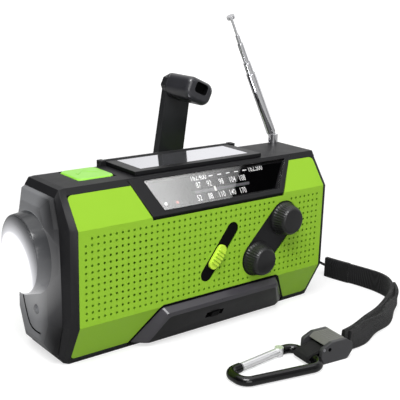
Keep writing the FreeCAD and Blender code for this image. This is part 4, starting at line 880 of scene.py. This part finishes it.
def corner_nick(x, y, side, level):
    """The outline that rounds one corner of a face: the corner outside its arc."""
    radius = CORNER_RADIUS
    outline = [(x + side, y + level), (x + side, y - level * radius), (x, y - level * radius)]
    for step in range(1, CORNER_STEPS):
        swing = math.pi / 2 * step / CORNER_STEPS
        outline.append((x - side * radius * (1 - math.cos(swing)),
                        y - level * radius * (1 - math.sin(swing))))
    return outline + [(x - side * radius, y), (x - side * radius, y + level)]


for face, y, level in ((UPPER_FACE, UPPER_EDGE, 1), (LOWER_FACE, LOWER_EDGE, -1)):
    for x, side in ((PANEL_LEFT, -1), (PANEL_RIGHT, 1)):
        carve_prism(green_skin, "corner", corner_nick(x, y, side, level), -4, 4, face)
carve(green_skin, cutter("dimple_pins", dimples))
# Faces sunk in the blind dimples take the darker green: painted shade in the dimples.
for face in green_skin.data.polygons:
    on_flat = FLAT_LOW < face.center.z / MM < FLAT_HIGH
    sunk = FRONT_Y + 0.05 < face.center.y / MM < FRONT_Y + 0.7
    face.material_index = 1 if on_flat and sunk else 0
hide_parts("front_panel")

# ---- case pieces with rounded edges ----

RING_START = -70.5

softened("rounded_deck", "top_deck", 0.9, black_case)
softened("rounded_torch_frame", "torch_frame", 0.9, black_case)
bezel = softened("rounded_bezel", "torch_bezel", 1.0, bezel_grey, ring_grey)
softened("rounded_dial_bezel", "dial_bezel", 0.3, black_case)
softened("rounded_lid", "solar_lid", 0.35, frame_gloss)
softened("rounded_end_plate", "end_cap", 0.4, black_case)
for face in bezel.data.polygons:
    if face.center.x < RING_START * MM:
        face.material_index = 1

ARC_X = -70.3
ARC_RADIUS = 0.32
ARC_ROUTE = [(10.2, 30.5), (8.6, 24.8), (6.8, 20.6), (4.5, 15.7), (0.5, 12.6), (-6.3, 13.4)]
# The engraved arc is a near-black line: painted shade in the groove.
bezel_arc = nurbs_line("bezel_arc", [(ARC_X, y, z) for y, z in ARC_ROUTE])
bezel_arc.data.bevel_depth = ARC_RADIUS * MM
bezel_arc.data.materials.append(recess_shade_black)
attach(bezel_arc, "case")

# ---- crank grip and the head of the arm ----

HUB_X, HUB_Z = 31.0, 59.0
ARM_LEAN = 7.5
GRIP_TURN = 16.5
ARM_REACH = 45.8
GRIP = (placed(HUB_X + ARM_REACH * math.sin(math.radians(ARM_LEAN)), 0,
               HUB_Z + ARM_REACH * math.cos(math.radians(ARM_LEAN)))
        @ rotated(ARM_LEAN + GRIP_TURN, "Y") @ UPRIGHT)
GRIP_FRONT = 25.4
GRIP_REAR = 43.4
NOSE = 2.8
HALF_WIDE, HALF_HIGH = 8.5, 5.9
GRIP_RADII = (5.2, 4.6, 4.4, 3.8)
RECESS = [(-4.0, -1.0), (4.0, -1.0), (4.0, 4.4), (-4.0, 4.4)]
RECESS_DEPTH = 4.0
EDGE_INSET = 0.1
NOSE_STEPS, HEAD_STEPS = 7, 6
HEAD_START, HEAD_STRAIGHT = 0.12, 1.6
HEAD_NOSE, HEAD_RISE = 2.4, 2.3


def grip_section(inset):
    """The grip's outline seen from its end, drawn in by an inset."""
    wide, high = HALF_WIDE - inset, HALF_HIGH - inset
    corners = [(-wide, -high), (wide, -high), (wide, high), (-wide, high)]
    return rounded(corners, [radius - inset for radius in GRIP_RADII], 8)


def grip_shape(shell):
    levels = [(grip_section(NOSE), GRIP_FRONT)]
    for step in range(1, NOSE_STEPS + 1):
        swing = math.pi / 2 * step / NOSE_STEPS
        levels.append((grip_section(NOSE * (1 - math.sin(swing))),
                       GRIP_FRONT + NOSE * (1 - math.cos(swing))))
    levels += [(grip_section(0), GRIP_REAR - EDGE_INSET), (grip_section(EDGE_INSET), GRIP_REAR)]
    loft(shell, levels, GRIP)


def head_shape(shell):
    levels = [(grip_section(EDGE_INSET), GRIP_REAR + HEAD_START),
              (grip_section(0), GRIP_REAR + HEAD_START + EDGE_INSET)]
    for step in range(HEAD_STEPS + 1):
        swing = math.pi / 2 * step / HEAD_STEPS
        levels.append((grip_section(HEAD_NOSE * (1 - math.cos(swing))),
                       GRIP_REAR + HEAD_STRAIGHT + HEAD_RISE * math.sin(swing)))
    loft(shell, levels, GRIP)


grip_piece = shaped("rounded_grip", grip_shape, "crank_grip", gloss_black, recess_shade_black)
carve_prism(grip_piece, "grip_recess", rounded(RECESS, 1.6), GRIP_FRONT - 1,
            GRIP_FRONT + RECESS_DEPTH, GRIP)
# Faces inside the grip's hollow end take the near-black finish: painted shade in the hollow.
for face in grip_piece.data.polygons:
    where = GRIP.inverted() @ face.center / MM
    inside = over_outline(where, RECESS, 0.05) and where.z > GRIP_FRONT + 0.4
    face.material_index = 1 if inside else 0
smoothed(grip_piece.data)
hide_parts("crank_grip")
softened("rounded_arm", "crank_arm", 0.5, arm_black)
smoothed(shaped("rounded_head", head_shape, "crank_arm", gloss_black).data)

# ---- power key with its raised chevron ----

KEY_CORNERS = [(-50.5, -5.6), (-32.3, -5.6), (-32.3, 12.6), (-50.5, 12.6)]
# Height, the share that the corners are drawn in to, its shift, and the corner radius.
KEY_LEVELS = [(75.3, 1.0, 0.0, 0.0, 3.2), (76.8, 1.0, 0.0, 0.0, 3.2),
              (77.2, 0.985, -0.62, 0.05, 3.1), (77.5, 0.93, -2.9, 0.25, 2.8)]
CHEVRON = [(-41.4, 9.8), (-46.2, 4.9), (-46.2, 2.4), (-41.4, 7.3), (-36.6, 2.4), (-36.6, 4.9)]
CHEVRON_LOW, CHEVRON_HIGH = 77.4, 77.6


def key_cap(shell):
    levels = []
    for height, share, aside, up, radius in KEY_LEVELS:
        corners = [(x * share + aside, y * share + up) for x, y in KEY_CORNERS]
        levels.append((rounded(corners, radius), height))
    loft(shell, levels, Matrix.Identity(4))


def chevron(shell):
    prism(shell, CHEVRON, CHEVRON_LOW, CHEVRON_HIGH, Matrix.Identity(4))


key_piece = shaped("power_key", key_cap, "power_button", bright_key)
bevelled(key_piece, 0.3)
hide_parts("power_button")
bevelled(shaped("key_chevron", chevron, "power_button", bright_key), 0.08)

# ---- knobs with fluted skirts ----

KNOB_RINGS = [(3.0, -0.3), (8.2, -0.3), (8.2, 0.9), (7.6, 1.5), (7.2, 3.0), (6.75, 5.6),
              (6.35, 6.7), (5.8, 7.25), (5.2, 7.4)]
FLUTES = ((3, 4, 5), 0.26)
FLUTE_STEPS = 144


def knob(name, x, z, node):
    """A turned knob in the place of its node."""
    where = placed(x, FRONT_Y + 0.1, z) @ FRONT_FACE
    piece = shaped(name, lambda shell: turned(shell, KNOB_RINGS, FLUTE_STEPS, where, FLUTES),
                   node, knob_black)
    smoothed(piece.data)
    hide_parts(node)


knob("fluted_tuning_knob", 51.0, 48.7, "tuning_knob")
knob("fluted_volume_knob", 34.5, 31.6, "volume_knob")

# ---- band slider with its steps ----

CAP_BACK = 2.65
CAP_RADIUS = 2.5
CAP_REACH = 7.4
CAP_BASE = 1.5
STEP_PLACES = (-3.2, -1.6, 0.0, 1.6, 3.2)
STEP_TALL, STEP_FALL = 2.6, 0.12
STEP_REACH, STEP_RADIUS = 3.4, 0.55
SLOT_FLOOR_Y = -23.61
SLOT_FLOOR_GAP = 0.12


def along_slot(run):
    """A place on the slot's middle line, a run up from its centre."""
    angle = math.radians(SLOT_TURN)
    return (SLOT_MIDDLE[0] + run * math.cos(angle), SLOT_MIDDLE[1] + run * math.sin(angle))


def slider_steps(shell):
    base = front_at(FRONT_Y + 0.3)
    prism(shell, stadium(CAP_REACH, CAP_RADIUS, along_slot(-CAP_BACK), SLOT_TURN), 0.0,
          CAP_BASE, base)
    for step in STEP_PLACES:
        height = STEP_TALL - abs(step) * STEP_FALL
        ridge = stadium(STEP_REACH, STEP_RADIUS, along_slot(step - CAP_BACK), SLOT_TURN + 90, 8)
        prism(shell, ridge, CAP_BASE - 0.2, height, base)


def slot_floor(shell):
    outline = stadium(SLOT_REACH, SLOT_RADIUS - SLOT_FLOOR_GAP, SLOT_MIDDLE, SLOT_TURN)
    prism(shell, outline, 0.0, 0.05, front_at(SLOT_FLOOR_Y))


stepped_cap = shaped("stepped_slider", slider_steps, "band_slider", lime_cap)
bevelled(stepped_cap, 0.2)
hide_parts("band_slider")
# A near-black sheet on the slot's floor: painted shade in the slot.
shaped("slot_floor", slot_floor, "front_housing", recess_shade_black)

# ---- base block: pale bevels round a dark face ----

SEAT = [(-33.6, 1.5), (62.6, 1.5), (48.9, 22.7), (-20.8, 22.7)]
BLOCK_FOOT = [(-32.0, 2.2), (61.0, 2.2), (48.0, 21.6), (-20.0, 21.6)]
BLOCK_TOP = [(-27.0, 4.1), (55.5, 4.1), (47.0, 21.0), (-19.0, 21.0)]
FACE_EDGE = [(-25.4, 4.3), (53.9, 4.3), (45.9, 19.5), (-17.9, 19.5)]
FACE_TOP = [(-25.0, 4.5), (53.5, 4.5), (45.6, 19.2), (-17.6, 19.2)]
FACE_HEIGHT = 4.45
SEAT_RADII = [0.8, 0.8, 3.6, 3.6]
FOOT_RADII = [1.0, 1.0, 3.2, 3.2]
TOP_RADII = [0.8, 1.6, 2.6, 2.2]
BLOCK_LEVELS = [(BLOCK_FOOT, FOOT_RADII, 0.02), (BLOCK_TOP, TOP_RADII, 3.7),
                (FACE_EDGE, TOP_RADII, 4.36), (FACE_TOP, TOP_RADII, FACE_HEIGHT)]
WELL = [(5.0, 10.9), (15.0, 10.9), (15.0, 14.3), (5.0, 14.3)]


def block_seat(shell):
    prism(shell, rounded(SEAT, SEAT_RADII), -0.3, 0.14, LOWER_FACE)


def block_shape(shell):
    loft(shell, [(rounded(outline, radii), level) for outline, radii, level in BLOCK_LEVELS],
         LOWER_FACE)


# A near-black seat under the block shows as a dark line round it: painted shade in the gap.
shaped("block_seat", block_seat, "base_block", recess_shade_black)
block_piece = shaped("dark_block", block_shape, "base_block", block_rim, block_face)
carve_prism(block_piece, "selector_well", WELL, 2.0, 6.0, LOWER_FACE)
outward = (LOWER_FACE.to_3x3() @ Vector((0, 0, 1))).normalized()
# The level face takes the dark face finish, and so do the selector well's walls: painted shade
# in the well.
for face in block_piece.data.polygons:
    place = LOWER_FACE.inverted() @ face.center / MM
    level = abs(face.normal.dot(outward)) > 0.999 and place.z > FACE_HEIGHT - 0.05
    face.material_index = 1 if level or over_outline(place, WELL, 0.1) else 0
smoothed(block_piece.data)
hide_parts("base_block")

# ---- dial print ----

PRINT_LEVEL = -1.68
LETTER_SQUEEZE = 0.7
DIAL_ROWS = [
    ("top", 15.0, 4.1, [("162.400", 5.8), ("162.500", 40.0)]),
    ("middle", 11.3, 3.9, [("87", 4.6), ("92", 10.8), ("98", 17.8), ("104", 24.4),
                           ("108", 30.4)]),
    ("bottom", 5.3, 3.9, [("52", 2.8), ("88", 9.1), ("110", 15.6), ("140", 21.9),
                          ("170", 28.2)]),
]
DASHES, DASH_FIRST, DASH_PITCH, DASH_ROW = 5, 13.1, 5.07, 14.9
DASH_HALF = (1.15, 0.25)
GROOVE_REACH, GROOVE_RADIUS, GROOVE_MIDDLE = 31.0, 0.65, (17.4, 8.4)
POINTER_X, POINTER_ROW = 12.9, 8.5
LAMP_RINGS = [(0.75, 0), (0.75, 0.1), (0.5, 0.3)]
LAMP_LEVEL = -1.78


def print_number(name, words, x, y, size):
    data = bpy.data.curves.new(name, "FONT")
    data.body = words
    data.size = size * MM
    data.extrude = 0.02 * MM
    data.offset = 0.015 * MM
    data.align_x = "CENTER"
    data.align_y = "CENTER"
    data.materials.append(print_white)
    piece = new_object(name, data)
    piece.matrix_world = (UPPER_FACE @ placed(x, y, PRINT_LEVEL)
                          @ Matrix.Diagonal((LETTER_SQUEEZE, 1, 1, 1)))
    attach(piece, "case")


for row, y, size, numbers in DIAL_ROWS:
    for index, (words, x) in enumerate(numbers):
        print_number(f"{row}_number_{index}", words, x, y, size)


def dial_bar(shell, x, y, half_along, half_up, low, high):
    """A small bar on the dial, between two levels of it."""
    prism(shell, [(x - half_along, y - half_up), (x + half_along, y - half_up),
                  (x + half_along, y + half_up), (x - half_along, y + half_up)],
          low, high, UPPER_FACE)


def dial_dashes(shell):
    for index in range(DASHES):
        dial_bar(shell, DASH_FIRST + index * DASH_PITCH, DASH_ROW, *DASH_HALF, -1.75, -1.66)


def dial_groove(shell):
    prism(shell, stadium(GROOVE_REACH, GROOVE_RADIUS, GROOVE_MIDDLE, 0.0), -1.79, -1.7,
          UPPER_FACE)


def pointer_shape(shell):
    dial_bar(shell, POINTER_X, POINTER_ROW, 0.5, 1.2, -1.66, -1.4)
    dial_bar(shell, POINTER_X, POINTER_ROW, 0.3, 0.5, -3.2, -1.6)


def small_lamp(name, x, y, finish):
    where = UPPER_FACE @ placed(x, y, LAMP_LEVEL)
    shaped(name, lambda shell: turned(shell, LAMP_RINGS, 16, where), "dial_scale", finish)


pointer_piece = shaped("pointer_mark", pointer_shape, "dial_pointer", pointer_paint)
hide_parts("dial_pointer")
shaped("dial_dashes", dial_dashes, "dial_scale", print_white)
shaped("dial_groove", dial_groove, "dial_scale", groove_grey)
small_lamp("white_lamp", -15.6, 5.5, print_white)
small_lamp("red_lamp", -9.5, 5.3, red_lamp)

# ---- floor and light ----


def floor_finish():
    """A plain floor that is white to the eye and doesn't light what mirrors it."""
    material, tree, shader = start_material("pale_floor")
    away = measure(tree, "LENGTH", own_place(tree))
    rays = tree.nodes.new("ShaderNodeLightPath").outputs
    seen = arithmetic(tree, "MAXIMUM", rays["Is Camera Ray"], rays["Is Transmission Ray"])
    give_all(tree, shader, {
        "Base Color": (0.4, 0.4, 0.4, 1), "Roughness": 0.7, "Specular IOR Level": 0.1,
        "Emission Color": (1, 1, 1, 1),
        "Emission Strength": arithmetic(tree, "MULTIPLY", seen,
                                        ranged(tree, away, 0.3, 1.2, 0.66, 1.0))})
    return material


def stage_sheet(name, corners, material):
    """A single face that belongs to the stage and not to the part."""
    mesh = mesh_from(name, lambda shell: shell.faces.new(
        [shell.verts.new(corner) for corner in corners]))
    mesh.materials.append(material)
    sheet = new_object(name, mesh)
    return sheet


AHEAD = (0.619, 0.785, 0.0)
RIGHT = (0.785, -0.619, 0.0)
UP = (0.0, 0.0, 1.0)


def make_world():
    """White to the eye; mirrors see it bright behind and overhead, dark on the left."""
    world = bpy.data.worlds.new("studio")
    world.use_nodes = True
    tree = world.node_tree
    direction = tree.nodes.new("ShaderNodeTexCoord").outputs["Generated"]

    def towards(aim, *spread):
        return ranged(tree, measure(tree, "DOT_PRODUCT", direction, aim), *spread)

    room = arithmetic(tree, "ADD", arithmetic(
        tree, "MULTIPLY", towards(AHEAD, -0.4, 0.9, 0.25, 0.98),
        towards(RIGHT, -0.8, 0.0, 0.04, 1.0)), towards(UP, 0.76, 0.92, 0.0, 1.2))
    rays = tree.nodes.new("ShaderNodeLightPath").outputs
    mirrored = arithmetic(tree, "MULTIPLY", rays["Is Glossy Ray"], room)
    seen = arithmetic(tree, "MAXIMUM", rays["Is Camera Ray"],
                      arithmetic(tree, "MAXIMUM", mirrored, rays["Is Transmission Ray"]))
    open_air = arithmetic(tree, "MULTIPLY",
                          arithmetic(tree, "SUBTRACT", 1.0, rays["Is Glossy Ray"]), 0.3)
    give_all(tree, tree.nodes["Background"], {
        "Color": (1, 1, 1, 1), "Strength": arithmetic(tree, "MAXIMUM", seen, open_air)})
    bpy.context.scene.world = world


def soft_lamp(name, at, aim, size, power):
    data = bpy.data.lights.new(name, "AREA")
    data.shape = "SQUARE"
    data.size = size
    data.energy = power
    lamp = new_object(name, data)
    lamp.location = at
    lamp.rotation_euler = (Vector(aim) - Vector(at)).to_track_quat("-Z", "Y").to_euler()


def mirrored_in_dial(x, row, reach):
    """The point that the dial's glass mirrors to the camera at a place on it."""
    spot = UPPER_FACE @ mm(x, row, 0)
    outward = (UPPER_FACE.to_3x3() @ Vector((0, 0, 1))).normalized()
    ahead = (spot - mm(*CAMERA_AT)).normalized()
    return spot + ahead.reflect(outward) * reach * MM


def reflector_card(name, places, reach, strengths):
    """A card that only mirrors show: its glow falls off along the dial."""
    material, tree, shader = start_material(name)
    left, right = mirrored_in_dial(-18, 9, reach), mirrored_in_dial(32, 9, reach)
    along = (right - left).normalized()
    run = measure(tree, "DOT_PRODUCT", own_place(tree), along)
    give_all(tree, shader, {
        "Base Color": (0, 0, 0, 1), "Roughness": 1.0, "Specular IOR Level": 0.0,
        "Emission Color": (1, 1, 1, 1),
        "Emission Strength": ranged(tree, run, left.dot(along), right.dot(along), *strengths)})
    card = stage_sheet(name, [mirrored_in_dial(x, row, reach) for x, row in places], material)
    card.visible_camera = False
    card.visible_diffuse = False
    card.visible_shadow = False
    card.visible_transmission = False


stage_sheet("floor", ((-6, -6, 0), (6, -6, 0), (6, 6, 0), (-6, 6, 0)), floor_finish())
make_world()
soft_lamp("key_lamp", (-0.5, -0.55, 1.25), (0, 0, 0.04), 0.7, 21)
soft_lamp("fill_lamp", (-0.5, -1.2, 0.4), (0, 0, 0.05), 0.8, 5.5)
reflector_card("pale_card", [(-34, 26), (-24, -6), (11.6, -6), (39.2, 26)], 300, (3.2, 0.35))
reflector_card("dark_card", [(-44, 34), (-34, -14), (80, -14), (100, 34)], 330, (0.0, 0.0))
